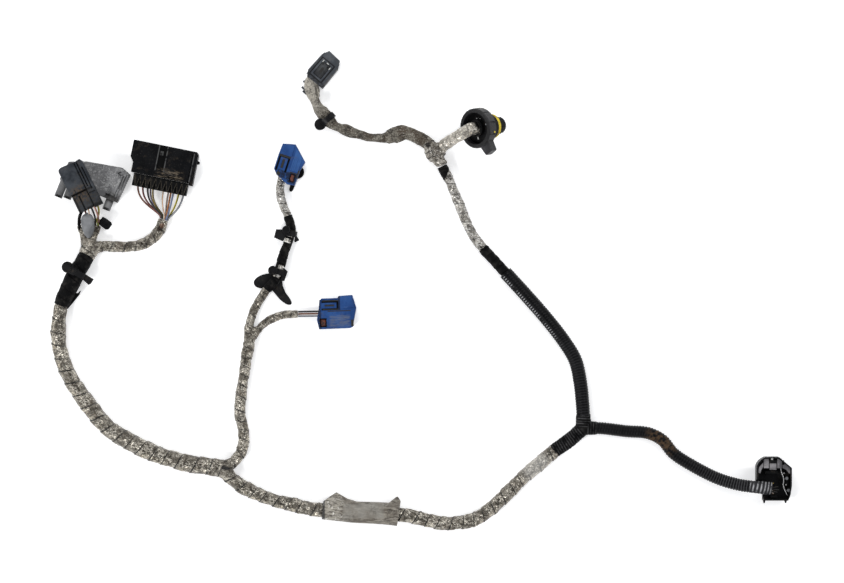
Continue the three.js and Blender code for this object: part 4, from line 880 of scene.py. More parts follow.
def wound_tube(line, diameter, sides=32, pitch=0.012, step=0.0004, wander=0.006, crease=0.0004,
               crease_size=0.005, lump=0.0008, lump_size=0.018, seed=1, slant=1.0, wide=None, tall=None,
               twist=None, ends=(1.0, 1.0)):
    """A tube along a line, wound with lapped tape that steps down at each lap.

    wide, tall and twist give the section's half width, half height and turn at every point of the line."""
    count = len(line)
    side, up = side_and_up(line)
    marks = np.concatenate([[0], np.cumsum(np.linalg.norm(np.diff(line, axis=0), axis=1))])
    turn = np.linspace(0, 1, sides + 1)
    angle = 2 * math.pi * turn[:sides]
    wide = np.full(count, diameter / 2) if wide is None else np.asarray(wide)
    tall = np.full(count, diameter / 2) if tall is None else np.asarray(tall)
    twist = np.zeros(count) if twist is None else np.asarray(twist)
    drift = wander * swell(line, 0.03, seed + 40)
    turns = (marks + drift) / pitch
    phase = turns[:, None] - slant * turn[None, :]
    lap = step * (0.5 - (phase[:, :sides] % 1.0))
    across = np.cos(angle)[None, :] * wide[:, None]
    rise = np.sin(angle)[None, :] * tall[:, None]
    cos_twist, sin_twist = np.cos(twist)[:, None], np.sin(twist)[:, None]
    out = (side[:, None, :] * (across * cos_twist - rise * sin_twist)[..., None]
           + up[:, None, :] * (across * sin_twist + rise * cos_twist)[..., None])
    flat = (line[:, None, :] + out).reshape(-1, 3)
    rough = crinkle(flat, crease_size, seed)
    relief = crease * (rough - rough.mean()) + lump * swell(flat, lump_size, seed + 9)
    relief = relief.reshape(count, sides) + lap
    fade = np.minimum(1, np.minimum(marks, marks[-1] - marks) / (0.3 * diameter))
    narrowing = np.interp(marks / marks[-1], [0, 0.5, 1], [ends[0], 1, ends[1]])
    rounding = 1 - 0.06 * (1 - fade)
    reach = np.linalg.norm(out, axis=2)
    scale = (1 + relief / reach) * (rounding * narrowing)[:, None]
    points = line[:, None, :] + out * scale[..., None]
    points[..., 2] = np.maximum(points[..., 2], FLOOR_GAP)

    bm = bmesh.new()
    winding = bm.loops.layers.uv.new("winding")
    rings = [[bm.verts.new(p) for p in ring] for ring in points]
    for i in range(count - 1):
        for j in range(sides):
            k = (j + 1) % sides
            face = bm.faces.new((rings[i][j], rings[i][k], rings[i + 1][k], rings[i + 1][j]))
            for loop, (a, b) in zip(face.loops, ((i, j), (i, j + 1), (i + 1, j + 1), (i + 1, j))):
                loop[winding].uv = (phase[a, b], turn[b])
    # The end caps take the second material; for sleeves and wires that is painted shade in the open end
    for ring, centre in ((rings[0], line[0]), (rings[-1], line[-1])):
        hub = bm.verts.new(centre)
        for j in range(sides):
            face = bm.faces.new((ring[j], ring[(j + 1) % sides], hub))
            face.material_index = 1
    bmesh.ops.recalc_face_normals(bm, faces=bm.faces)
    return finished(bm, 50)


def joined_meshes(*meshes):
    bm = bmesh.new()
    for mesh in meshes:
        bm.from_mesh(mesh)
    whole = bpy.data.meshes.new("work")
    bm.to_mesh(whole)
    bm.free()
    return whole


def worked(mesh, *modifiers):
    """The mesh after modifiers, given as a kind and its settings."""
    holder = bpy.data.objects.new("holder", mesh)
    bpy.context.scene.collection.objects.link(holder)
    for kind, settings in modifiers:
        modifier = holder.modifiers.new(kind.lower(), kind)
        for name, value in settings.items():
            setattr(modifier, name, value)
    graph = bpy.context.evaluated_depsgraph_get()
    made = bpy.data.meshes.new_from_object(holder.evaluated_get(graph))
    bpy.data.objects.remove(holder)
    return made


SHARP_ANGLE = 0.6
SHORTEST_ROUNDED = 0.0009
CORD_SPACING = 0.004


def softened(node, rounding=0.3, segments=2):
    """A CAD piece with its doubles merged and its sharp edges rounded."""
    bm = bmesh.new()
    bm.from_mesh(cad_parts[node].data)
    bmesh.ops.remove_doubles(bm, verts=bm.verts, dist=0.00001)
    bmesh.ops.dissolve_limit(bm, angle_limit=math.radians(1), verts=bm.verts, edges=bm.edges,
                             delimit={"NORMAL"})
    corners = [edge for edge in bm.edges if len(edge.link_faces) == 2
               and edge.calc_face_angle(0) > SHARP_ANGLE and edge.calc_length() > SHORTEST_ROUNDED]
    bmesh.ops.bevel(bm, geom=corners, offset=rounding * MM, segments=segments, affect="EDGES", profile=0.5,
                    clamp_overlap=True)
    bmesh.ops.triangulate(bm, faces=bm.faces, quad_method="BEAUTY", ngon_method="EAR_CLIP")
    bmesh.ops.recalc_face_normals(bm, faces=bm.faces)
    return worked(finished(bm, 50), ("WEIGHTED_NORMAL", {"keep_sharp": True}))


def slab(group, points, z0, z1, chamfer=0.4):
    """A plate in a connector's own millimetres with rounded edges."""
    bm = bmesh.new()
    low = [bm.verts.new(group.point(x, y, z0)) for x, y in points]
    high = [bm.verts.new(group.point(x, y, z1)) for x, y in points]
    bm.faces.new(low[::-1])
    bm.faces.new(high)
    for k in range(len(points)):
        n = (k + 1) % len(points)
        bm.faces.new((low[k], low[n], high[n], high[k]))
    bmesh.ops.recalc_face_normals(bm, faces=bm.faces)
    bmesh.ops.bevel(bm, geom=list(bm.edges), offset=chamfer * MM, segments=2, affect="EDGES", profile=0.5)
    return worked(finished(bm, 50), ("WEIGHTED_NORMAL", {"keep_sharp": True}))


def block(group, x0, x1, y0, y1, z0, z1, chamfer=0.3):
    return slab(group, [(x0, y0), (x1, y0), (x1, y1), (x0, y1)], z0, z1, chamfer)


def spun(group, centre, profile, sides=32, along="Z"):
    """A solid turned about an axis through centre, from radius and height pairs in millimetres."""
    bm = bmesh.new()
    rings = []
    for radius, height in profile:
        ring = []
        for k in range(sides):
            angle = 2 * math.pi * k / sides
            a, b = radius * math.cos(angle), radius * math.sin(angle)
            shift = (a, b, height) if along == "Z" else (a, height, -b)
            ring.append(bm.verts.new(group.point(*(c + d for c, d in zip(centre, shift)))))
        rings.append(ring)
    for low, high in zip(rings, rings[1:]):
        for k in range(sides):
            n = (k + 1) % sides
            bm.faces.new((low[k], low[n], high[n], high[k]))
    bm.faces.new(rings[0][::-1])
    bm.faces.new(rings[-1])
    bmesh.ops.recalc_face_normals(bm, faces=bm.faces)
    return finished(bm, 35)


def boss(group, x, y, z0, z1, radius, dish=0.4):
    """A round boss with a rim and a dished top."""
    return spun(group, (x, y, 0), [(radius, z0), (radius, z1 - 0.5), (radius - 0.4, z1), (radius - 1.2, z1),
                                   (radius - 1.5, z1 - dish), (0.5, z1 - dish - 0.1)])


def station(route, mark, facing=1):
    """A group on the floor at a mark of a route, its +Y along the route or back along it."""
    place = route.at(mark)
    heading = route.heading(mark) * facing
    group = Group(place[0] / MM, place[1] / MM, 0, math.degrees(math.atan2(heading[1], heading[0])) - 90)
    return group, place[2] / MM


def bare_patch(route, start, end, radius, from_degrees, to_degrees, seed):
    """A ragged curved patch of covering that shows on a bundle."""
    line = route.stretch(start, end, 0.0006)
    side, up = side_and_up(line)
    count = 14
    bm = bmesh.new()
    shells = []
    for lift in (-0.0003, 0.00035):
        rows = []
        for i, centre in enumerate(line):
            ragged = 6 * math.sin(i * 1.7 + seed) + 4 * math.sin(i * 0.6 + seed * 2)
            angles = np.radians(np.linspace(from_degrees + ragged, to_degrees - ragged, count))
            rows.append([bm.verts.new(centre + (side[i] * math.cos(a) + up[i] * math.sin(a))
                                      * (radius + lift)) for a in angles])
        shells.append(rows)
    rows = len(line)
    for n, shell in enumerate(shells):
        for i in range(rows - 1):
            for j in range(count - 1):
                quad = (shell[i][j], shell[i][j + 1], shell[i + 1][j + 1], shell[i + 1][j])
                bm.faces.new(quad if n else quad[::-1])
    border = ([(i, 0) for i in range(rows)] + [(rows - 1, j) for j in range(1, count)]
              + [(i, count - 1) for i in range(rows - 2, -1, -1)] + [(0, j) for j in range(count - 2, 0, -1)])
    for (a, b), (c, d) in zip(border, border[1:] + border[:1]):
        bm.faces.new((shells[0][a][b], shells[0][c][d], shells[1][c][d], shells[1][a][b]))
    bmesh.ops.recalc_face_normals(bm, faces=bm.faces)
    winding = bm.loops.layers.uv.new("winding")
    for face in bm.faces:
        for loop in face.loops:
            loop[winding].uv = (0.25, 0.5)
    return finished(bm, 40)


def cord_length(line):
    return float(np.linalg.norm(np.diff(line, axis=0), axis=1).sum())


def declare(line):
    cord_length(line)


# Foil sleeves

def foil_sleeve(name, route, start, end, diameter, finish="foil", free=True, **wrap):
    line = route.stretch(start, end, 0.0009)
    sides = 40 if diameter > 0.012 else 32
    piece = add_piece(name, wound_tube(line, diameter, sides, **wrap), [finish, "mouth"], [name])
    if free:
        declare(route.stretch(start, end, CORD_SPACING))


foil_sleeve("trunk_sleeve_left", left_trunk, LEFT_TAPE_END - 0.002, -WRAP_REACH + 0.002, TRUNK_LEFT,
            pitch=0.0135, step=0.0009, crease=0.0007, lump=0.0016, seed=3, ends=(0.8, 1.0))
foil_sleeve("trunk_sleeve_right", right_trunk, WRAP_REACH - 0.002, -LONG_WRAP_REACH + 0.002, TRUNK_RIGHT,
            pitch=0.0125, step=0.0008, crease=0.0007, lump=0.0014, seed=5)
foil_sleeve("blue_branch_sleeve", blue_branch, WRAP_REACH - 0.002, -WRAP_REACH + 0.002, BLUE_BRANCH,
            pitch=0.011, step=0.0006, crease=0.0006, lump=0.0012, seed=8)
foil_sleeve("blue_one_sleeve_lower", blue_one, BLUE_WRAP_REACH - 0.002, BLUE_TAPE_START + 0.002, BLUE_ONE_LEG,
            free=False, pitch=0.010, step=0.0004, seed=11)
foil_sleeve("blue_one_sleeve_upper", blue_one, BLUE_TAPE_START + BLUE_TAPE_LENGTH - 0.001, 0, BLUE_ONE_LEG,
            "clean_foil", free=False, pitch=0.010, step=0.0004, seed=12)
foil_sleeve("blue_two_sleeve", blue_two, BLUE_WRAP_REACH - 0.002, 0, BLUE_TWO_LEG, pitch=0.009, step=0.0004,
            seed=14)
foil_sleeve("black_connector_sleeve", black_leg, WRAP_REACH - 0.002, 0, BLACK_LEG, pitch=0.011, step=0.0006,
            lump=0.0012, seed=17)
foil_sleeve("upper_sleeve", upper_branch, UPPER_TUBE_END + UPPER_TAPE_LENGTH - 0.001,
            -PATCH_FROM_JUNCTION - PATCH_LENGTH + 0.002, UPPER_SLEEVE, "clean_foil", pitch=0.010, step=0.0005,
            seed=19)
foil_sleeve("bayonet_sleeve", bayonet_leg, WRAP_REACH - 0.002, 0, BAYONET_SLEEVE, "warm_foil", free=False,
            pitch=0.009, step=0.0005, seed=21)


def winding(name, route, start, end, diameter, finish="tape", slot="cloth_tape", extra=(), **settings):
    line = route.stretch(start, end, 0.0008)
    settings = {"pitch": 0.009, "step": 0.0004, "crease": 0.0003, "lump": 0.0006, **settings}
    mesh = wound_tube(line, diameter + 2 * TAPE, 36, **settings)
    return add_piece(name, joined_meshes(mesh, *extra), [finish, finish], [name])


def tape_flap():
    """The loose pointed end of the left tape."""
    world = Group(0, 0, 0, 0)
    rim = [(-348, -2), (-346, -0.5), (-343.5, -1.2), (-341.4, 1.4), (-340.3, 1.2), (-342.2, -3.2),
           (-345.5, -7.2), (-349, -11.6), (-353.5, -17), (-356, -16), (-354, -8)]
    return slab(world, rim, 8.4, 9.4, 0.25)


winding("left_tape", left_trunk, BARE_FOIL_REACH - 0.001, LEFT_TAPE_END, TRUNK_LEFT, extra=[tape_flap()],
        seed=31, pitch=0.011, step=0.0005, lump=0.001, ends=(0.95, 0.86))
winding("blue_one_tape", blue_one, BLUE_TAPE_START, BLUE_TAPE_START + BLUE_TAPE_LENGTH, BLUE_ONE_LEG,
        seed=33, lump=0.001)
winding("upper_tube_tape", upper_branch, UPPER_TUBE_END - 0.001, UPPER_TUBE_END + UPPER_TAPE_LENGTH,
        UPPER_SLEEVE, seed=35, pitch=0.008)
patch = winding("upper_tape_patch", upper_branch, -PATCH_FROM_JUNCTION - PATCH_LENGTH, -PATCH_FROM_JUNCTION,
                UPPER_SLEEVE, seed=37, pitch=0.010)
patch.data.materials.append(finishes["clean_foil"])
# A point of the tape's slanted edge and its slant; the foil is bare to the right of it
EDGE_X = 0.0228
EDGE_Y = 0.1126
EDGE_SLANT = 0.471
for face in patch.data.polygons:
    if face.center.x > EDGE_X + (face.center.y - EDGE_Y) * EDGE_SLANT:
        face.material_index = 2


# Junction wraps: legs and a ball grown together

LEG_SPACING = 0.001


def junction_mesh(legs, pitch, step, crease, seed, knot, voxel=0.0007):
    """legs are a route, its start and end marks and its diameter."""
    parts = []
    lines = []
    for route, start, end, diameter in legs:
        line = route.stretch(start, end, LEG_SPACING)
        lines.append((line, diameter / 2 + TAPE))
        parts.append(wound_tube(line, diameter + 2 * TAPE, 24, step=0, crease=0, lump=0))
    centre = legs[0][0].at(0)
    ball = bmesh.new()
    biggest = max(radius for line, radius in lines)
    radius = max(biggest * 1.02, knot)
    squash = Matrix.Scale(min(1, (centre[2] - FLOOR_GAP) / radius), 4, (0, 0, 1))
    bmesh.ops.create_icosphere(ball, subdivisions=3, radius=radius,
                               matrix=Matrix.Translation(centre) @ squash)
    parts.append(finished(ball))
    whole = worked(joined_meshes(*parts), ("REMESH", {"mode": "VOXEL", "voxel_size": voxel}),
                   ("SMOOTH", {"factor": 0.6, "iterations": 7}))
    bm = bmesh.new()
    bm.from_mesh(whole)
    bm.verts.ensure_lookup_table()
    places = np.array([v.co for v in bm.verts])
    normals = np.array([v.normal for v in bm.verts])
    phases = np.zeros(len(places))
    nearest = np.full(len(places), 1e9)
    for line, radius in lines:
        side, up = side_and_up(line)
        away = places[:, None, :] - line[None, :, :]
        gap = np.linalg.norm(away, axis=2)
        close = gap.argmin(axis=1)
        rows = np.arange(len(places))
        best = gap[rows, close] / radius
        arm = away[rows, close]
        around = np.arctan2((arm * up[close]).sum(1), (arm * side[close]).sum(1)) / (2 * math.pi)
        phase = close * LEG_SPACING / pitch - around
        better = best < nearest
        phases[better] = phase[better]
        nearest[better] = best[better]
    rough = crinkle(places, 0.005, seed)
    relief = step * (0.5 - phases % 1.0) + crease * (rough - rough.mean())
    lump, lump_size = (0.0018, 0.009) if knot else (0.0005, 0.012)
    relief += lump * swell(places, lump_size, seed + 5)
    layer = bm.loops.layers.uv.get("winding") or bm.loops.layers.uv.new("winding")
    for vert, place, normal, rise in zip(bm.verts, places, normals, relief):
        vert.co = Vector(place + normal * rise)
        vert.co.z = max(vert.co.z, FLOOR_GAP)
    for face in bm.faces:
        values = [phases[loop.vert.index] for loop in face.loops]
        top = max(values)
        for loop, value in zip(face.loops, values):
            loop[layer].uv = (value + 1 if top - value > 0.5 else value, 0.5)
        face.material_index = 0
    return finished(bm, 70)


def junction(name, legs, finish, pitch=0.011, step=0.0006, crease=0.0006, seed=1, knot=0):
    return add_piece(name, junction_mesh(legs, pitch, step, crease, seed, knot), [finish], [name])


junction("left_junction_wrap", [
    (left_trunk, 0, BARE_FOIL_REACH, TRUNK_LEFT), (black_leg, 0, WRAP_REACH, BLACK_LEG),
    (grey_leg, 0, WRAP_REACH, GREY_LEG)], "foil", seed=51)
junction("trunk_junction_wrap", [
    (right_trunk, 0, WRAP_REACH, TRUNK_RIGHT), (blue_branch, 0, WRAP_REACH, BLUE_BRANCH),
    (left_trunk, -WRAP_REACH, 0, TRUNK_LEFT)], "foil", seed=53)
junction("blue_junction_wrap", [
    (blue_one, 0, BLUE_WRAP_REACH, BLUE_ONE_LEG), (blue_two, 0, BLUE_WRAP_REACH, BLUE_TWO_LEG),
    (blue_branch, -WRAP_REACH, 0, BLUE_BRANCH)], "foil", pitch=0.009, seed=55)
junction("right_junction_tape", [
    (upper_branch, 0, WRAP_REACH, LOWER_TUBE), (right_branch, 0, WRAP_REACH, RIGHT_TUBE),
    (right_trunk, -LONG_WRAP_REACH, 0, TRUNK_RIGHT)], "ringed_tape", pitch=0.0026,
    step=0.0005, crease=0.0003, seed=57)
junction("upper_junction_wrap", [
    (top_branch, 0, WRAP_REACH, TOP_SLEEVE), (bayonet_leg, 0, WRAP_REACH, BAYONET_SLEEVE),
    (upper_branch, -PATCH_FROM_JUNCTION + SEAT_GAP, 0, UPPER_SLEEVE + 0.002)], "brown_foil",
    pitch=0.009, crease=0.0011, seed=59, knot=0.0102)


# Corrugated tubes, grown along their routes by one geometry tree

def corrugation_tree():
    tree = bpy.data.node_groups.new("corrugated_tube", "GeometryNodeTree")
    shape = tree.interface
    shape.new_socket("Line", in_out="INPUT", socket_type="NodeSocketGeometry")
    sizes = {}
    for name, kind in [("Radius", "NodeSocketFloat"), ("Ridge Pitch", "NodeSocketFloat"),
                       ("Ridge Depth", "NodeSocketFloat"), ("Slit Turn", "NodeSocketFloat"),
                       ("Slit Depth", "NodeSocketFloat"), ("Sides", "NodeSocketInt"),
                       ("Finish", "NodeSocketMaterial")]:
        sizes[name] = shape.new_socket(name, in_out="INPUT", socket_type=kind).identifier
    shape.new_socket("Tube", in_out="OUTPUT", socket_type="NodeSocketGeometry")
    graph = Graph(tree)
    given = graph.node("NodeGroupInput").socket.node

    def size(name):
        return Signal(graph, given.outputs[name])

    line = graph.node("GeometryNodeMeshToCurve", inputs=[Signal(graph, given.outputs["Line"])])
    spacing = size("Ridge Pitch") / 8
    even = graph.node("GeometryNodeResampleCurve", {"mode": "LENGTH"}, {"Curve": line, "Length": spacing})
    keep_length = tree.nodes.new("GeometryNodeCaptureAttribute")
    keep_length.capture_items.new("FLOAT", "Length")
    tree.links.new(even.socket, keep_length.inputs[0])
    tree.links.new(graph.node("GeometryNodeSplineParameter", output="Length").socket, keep_length.inputs[1])
    circle = graph.node("GeometryNodeCurvePrimitiveCircle", {"mode": "RADIUS"},
                        {"Resolution": size("Sides"), "Radius": size("Radius")})
    keep_turn = tree.nodes.new("GeometryNodeCaptureAttribute")
    keep_turn.capture_items.new("FLOAT", "Turn")
    tree.links.new(circle.socket, keep_turn.inputs[0])
    tree.links.new(graph.node("GeometryNodeSplineParameter", output="Factor").socket, keep_turn.inputs[1])
    tube = graph.node("GeometryNodeCurveToMesh", inputs={
        "Curve": Signal(graph, keep_length.outputs[0]), "Profile Curve": Signal(graph, keep_turn.outputs[0]),
        "Fill Caps": True})
    along = Signal(graph, keep_length.outputs[1])
    turn = Signal(graph, keep_turn.outputs[1])
    ridge = (along / size("Ridge Pitch") * (2 * math.pi)).wave().band(-0.55, 0.55)
    slit = (turn - size("Slit Turn")).size().band(0.035, 0.015)
    sink = (1 - ridge) * size("Ridge Depth") + slit * size("Slit Depth")
    normal = graph.node("GeometryNodeInputNormal")
    offset = graph.node("ShaderNodeVectorMath", {"operation": "SCALE"}, {0: normal, "Scale": 0 - sink})
    moved = graph.node("GeometryNodeSetPosition", inputs={"Geometry": tube, "Offset": offset})
    for attribute, value in (("along", along), ("turn", turn)):
        moved = graph.node("GeometryNodeStoreNamedAttribute", {"data_type": "FLOAT", "domain": "POINT"},
                           {"Geometry": moved, "Name": attribute, "Value": value})
    smooth = graph.node("GeometryNodeSetShadeSmooth", inputs={"Geometry": moved})
    real = graph.node("GeometryNodeRealizeInstances", inputs=[smooth])
    dressed = graph.node("GeometryNodeSetMaterial", inputs={"Geometry": real, "Material": size("Finish")})
    graph.node("NodeGroupOutput", inputs=[dressed])
    return tree, sizes


corrugation, corrugation_sizes = corrugation_tree()


def corrugated_tube(name, route, start, end, diameter, finish, depth, slit_turn, slit_depth):
    line = route.stretch(start, end, 0.002)
    mesh = bpy.data.meshes.new("line")
    mesh.from_pydata([tuple(p) for p in line], [(k, k + 1) for k in range(len(line) - 1)], [])
    holder = bpy.data.objects.new("line", mesh)
    bpy.context.scene.collection.objects.link(holder)
    modifier = holder.modifiers.new("corrugation", "NODES")
    modifier.node_group = corrugation
    for size, value in [("Radius", diameter / 2), ("Ridge Pitch", RIDGE_PITCH), ("Ridge Depth", depth),
                        ("Slit Turn", slit_turn), ("Slit Depth", slit_depth), ("Sides", 28),
                        ("Finish", finishes[finish])]:
        modifier[corrugation_sizes[size]] = value
    graph = bpy.context.evaluated_depsgraph_get()
    grown = bpy.data.meshes.new_from_object(holder.evaluated_get(graph))
    bpy.data.objects.remove(holder)
    bm = bmesh.new()
    bm.from_mesh(grown)
    bmesh.ops.remove_doubles(bm, verts=bm.verts, dist=0.00001)
    piece = add_piece(name, finished(bm, 50), [finish], [name])
    declare(route.stretch(start, end, CORD_SPACING))


corrugated_tube("corrugated_tube_upper", upper_branch, WRAP_REACH - 0.001, UPPER_TUBE_END + 0.001, LOWER_TUBE,
                "upper_loom", 0.00035, UPPER_SLIT, 0.0008)
corrugated_tube("corrugated_tube_right", right_branch, WRAP_REACH - 0.001, -WRAP_FROM_RIGHT_END + 0.001,
                RIGHT_TUBE, "right_loom", 0.0005, RIGHT_SLIT, 0.0008)


# Flat braided sleeve to the top connector

BRAID_SHAPE = [
    # x and y along the route, half the seen width, half the thickness, turn, share of full lowering
    (8, 146, 6.6, 4.6, 0.0, 0.3), (0, 152, 6.4, 3.4, 0.0, 1), (-8, 157, 6.3, 2.8, 0.1, 1),
    (-15, 159, 6.8, 2.4, 0.15, 1), (-20, 159, 8.1, 2.1, 0.1, 1), (-27, 157, 8.2, 2.0, -0.1, 1),
    (-33, 155.5, 7.0, 2.2, -0.5, 1), (-37, 154.3, 5.2, 2.6, -0.2, 1), (-41, 154, 4.4, 2.8, 0.7, 1),
    (-47, 154, 4.0, 3.0, 0.9, 1), (-57, 155.5, 4.0, 3.0, 0.9, 1), (-65, 158, 4.6, 3.0, 0.5, 1),
    (-72, 160.5, 5.7, 2.6, 0.1, 1), (-77, 162, 5.6, 3.2, 0.0, 0.6), (-82, 164, 4.6, 4.0, 0.0, 0.1),
    (-87, 166.5, 4.6, 4.0, 0.0, 0.1), (-91, 170, 6.2, 3.0, 0.1, 0.6), (-96, 175, 7.0, 2.5, 0.25, 1),
    (-101, 182, 6.2, 2.4, 0.5, 1), (-105, 187, 4.6, 2.8, 0.95, 1), (-107, 192, 4.7, 2.8, 0.4, 1),
    (-109, 198, 7.0, 2.4, 0.0, 0.8), (-108, 205, 7.3, 3.0, 0.0, 0.4), (-103, 214, 6.6, 4.6, 0.0, 0)]


def top_braid():
    """A flat woven sleeve that folds and twists on its way, with the seen width given for each place."""
    line = top_branch.stretch(WRAP_REACH - 0.004, 0, 0.0007)
    marks = np.concatenate([[0], np.cumsum(np.linalg.norm(np.diff(line, axis=0), axis=1))])
    table = np.array(BRAID_SHAPE, float)
    nearest = [marks[np.argmin(np.hypot(line[:, 0] - x * MM, line[:, 1] - y * MM))] for x, y in table[:, :2]]
    seen, tall, twist, lowering = (np.interp(marks, nearest, column) for column in table[:, 2:].T)
    wide = np.sqrt(np.maximum(seen**2 - (tall * np.sin(twist))**2, 9)) / np.cos(twist)
    wide = np.minimum(wide, 8.8) * MM
    tall = tall * MM
    low = np.hypot(wide * np.sin(twist), tall * np.cos(twist))
    line = line.copy()
    line[:, 2] -= np.maximum(0, line[:, 2] - FLOOR_GAP * 2 - low) * lowering
    mesh = wound_tube(line, TOP_SLEEVE, 44, pitch=0.010, step=0, crease=0.0009, crease_size=0.007,
                      lump=0.0007, lump_size=0.011, seed=71, slant=0, wide=wide, tall=tall, twist=twist)
    piece = add_piece("top_sleeve", mesh, ["braid", "mouth"], ["top_sleeve"])
    declare(line[::5])


top_braid()


# Bare wires

WIRE = 0.0019
BLACK_CAVITIES = [-8, -6, -4, -3, -2, 2, 4, 5, 6, 8, 10]
BLACK_PITCH = 2.6


def bezier(start, start_handle, end, end_handle, count=28):
    t = np.linspace(0, 1, count)[:, None]
    a, b, c, d = start, start + start_handle, end + end_handle, end
    return (1 - t)**3 * a + 3 * (1 - t)**2 * t * b + 3 * (1 - t) * t**2 * c + t**3 * d


def wire_mesh(line, diameter=WIRE):
    return wound_tube(line, diameter, 14, pitch=0.02, step=0, crease=0, lump=0.0001, slant=0)


def row_height(k):
    return ((k % 3) - 1) * BLACK_PITCH


wire_colours = [
    ("brown", tone(0.16, 0.065, 0.04), tone(0.16, 0.065, 0.04)),
    ("brown_red", tone(0.19, 0.05, 0.04), tone(0.05, 0.02, 0.02)),
    ("black", grey(0.012), grey(0.012)),
    ("violet", tone(0.08, 0.07, 0.26), tone(0.35, 0.3, 0.1)),
    ("olive", tone(0.3, 0.2, 0.03), tone(0.05, 0.05, 0.04)),
    ("white", tone(0.6, 0.6, 0.57), tone(0.5, 0.25, 0.1)),
    ("tan", tone(0.24, 0.14, 0.08), grey(0.3)),
    ("orange", tone(0.5, 0.17, 0.04), tone(0.1, 0.06, 0.04)),
    ("pale_blue", tone(0.2, 0.24, 0.33), tone(0.1, 0.12, 0.22)),
    ("yellow", tone(0.6, 0.47, 0.03), tone(0.1, 0.12, 0.03)),
    ("dark_grey", tone(0.06, 0.07, 0.09), tone(0.3, 0.3, 0.32)),
    ("pink", tone(0.55, 0.3, 0.24), tone(0.2, 0.1, 0.08)),
    ("green", tone(0.05, 0.2, 0.07), tone(0.4, 0.35, 0.05)),
]
wire_finishes = {name: wire_cover(f"{name}_wire_cover", base, stripe) for name, base, stripe in wire_colours}


def black_connector_wires():
    mouth = black_leg.at(black_leg.length)
    heading = black_leg.heading(black_leg.length)
    across = np.array([heading[1], -heading[0], 0])
    names = [name for name, base, stripe in wire_colours[:11]]
    for k, place in enumerate(BLACK_CAVITIES):
        start = black_group.point(place * BLACK_PITCH, -13 + 4 - 0.3, 12 + row_height(k))
        end = mouth + heading * SEAT_GAP + across * (k - 5) * 0.00076
        end[2] += row_height(k) * MM * 0.86
        line = bezier(start, black_group.way(0, -22, 0), end, heading * 0.0077)
        name = f"black_wire_{k + 1}"
        piece = add_piece(name, wire_mesh(line), [wire_finishes[names[k]], "mouth"], [name])
        declare(line)


black_connector_wires()


def grey_connector_neck():
    """Two foil-wrapped wire groups, and the routes that they follow."""
    root = grey_leg.at(WRAP_REACH)
    left = Route([root + [-0.003, -0.004, 0.001], (-0.3375, 0.058, 0.0105), (-0.3405, 0.0665, 0.012)])
    right = Route([root + [0.003, -0.004, 0.001], (-0.3275, 0.058, 0.0105), (-0.3245, 0.0665, 0.011)])
    legs = []
    for k, route in enumerate((left, right)):
        line = route.stretch(0, 0, 0.0008)
        legs.append(wound_tube(line, 0.0088, 28, pitch=0.008, step=0.0004, crease=0.0005, lump=0.0008,
                               seed=81 + k))
    return joined_meshes(*legs), left, right


def grey_wires():
    neck, left, right = grey_connector_neck()
    add_piece("grey_connector_neck", neck, ["foil", "mouth"], ["grey_connector_wires"])
    colours = ["brown_red", "white", "black", "pink", "yellow"]
    back = slate_group.way(0, -14, 0)
    for k in range(5):
        x = -6.4 + 3.4 * k
        z = 5.2 + 1.6 * ((k % 2) * 2 - 1)
        start = slate_group.point(x, 3.7, z)
        leg = left if k < 2 else right
        end = leg.at(leg.length) + np.array([(k % 2 - 0.5) * 0.003, -0.001, (k % 3 - 1) * 0.002])
        line = bezier(start, back, end, np.array([0, 0.008, 0.002]))
        add_piece(f"slate_wire_{k + 1}", wire_mesh(line), [wire_finishes[colours[k]], "mouth"])
    start = small_group.point(0, 2.7, 4)
    end = right.at(right.length) + np.array([0.001, -0.001, 0])
    line = bezier(start, small_group.way(0, -6, 0), end, np.array([0, 0.004, 0.001]))
    add_piece("small_plug_wire", wire_mesh(line), [wire_finishes["green"], "mouth"])


grey_wires()


def neck_wrap():
    """The smooth grey tongue in front of the wires and the black loop beside it."""
    line = Route([(-0.3322, 0.0545, 0.0165), (-0.3322, 0.062, 0.021), (-0.3328, 0.070, 0.0232),
                  (-0.3338, 0.0788, 0.0225)]).stretch(0, 0, 0.0006)
    share = np.linspace(0, 1, len(line))
    wide = np.interp(share, [0, 0.15, 0.45, 0.75, 0.9, 1], [0.002, 0.0046, 0.0066, 0.0068, 0.005, 0.0012])
    tall = np.interp(share, [0, 0.3, 0.8, 1], [0.0015, 0.0032, 0.003, 0.0008])
    tongue = wound_tube(line, 0.012, 32, pitch=0.02, step=0, crease=0.0002, lump=0.0004, slant=0, wide=wide,
                        tall=tall, seed=93)
    add_piece("grey_neck_tongue", tongue, ["grey_wrap"])
    loop = Route([(-0.3408, 0.0605, 0.012), (-0.3418, 0.068, 0.017), (-0.3405, 0.0765, 0.0205),
                  (-0.3372, 0.082, 0.0215), (-0.3325, 0.0845, 0.0205)])
    add_piece("neck_loop", wound_tube(loop.stretch(0, 0, 0.0006), 0.0032, 16, pitch=0.004, step=0.0002,
                                      crease=0.0002, lump=0.0002, seed=95), ["tape", "tape"])


neck_wrap()


def blue_two_wires():
    height = rest_height(BLUE_TWO_LEG) / MM + 1.5
    mouth = blue_two.at(blue_two.length)
    heading = blue_two.heading(blue_two.length)
    across = np.array([heading[1], -heading[0], 0])
    for k, colour in enumerate(["black", "brown", "dark_grey"]):
        shift = (k - 1) * 2.25
        start = mouth + heading * SEAT_GAP + across * shift * MM
        end = blue_two_group.point(1 + shift, -14.3, height)
        line = bezier(start, heading * 0.004, end, blue_two_group.way(0, -4, 0))
        name = f"blue_two_wire_{k + 1}"
        add_piece(name, wire_mesh(line), [wire_finishes[colour], "mouth"], [name])


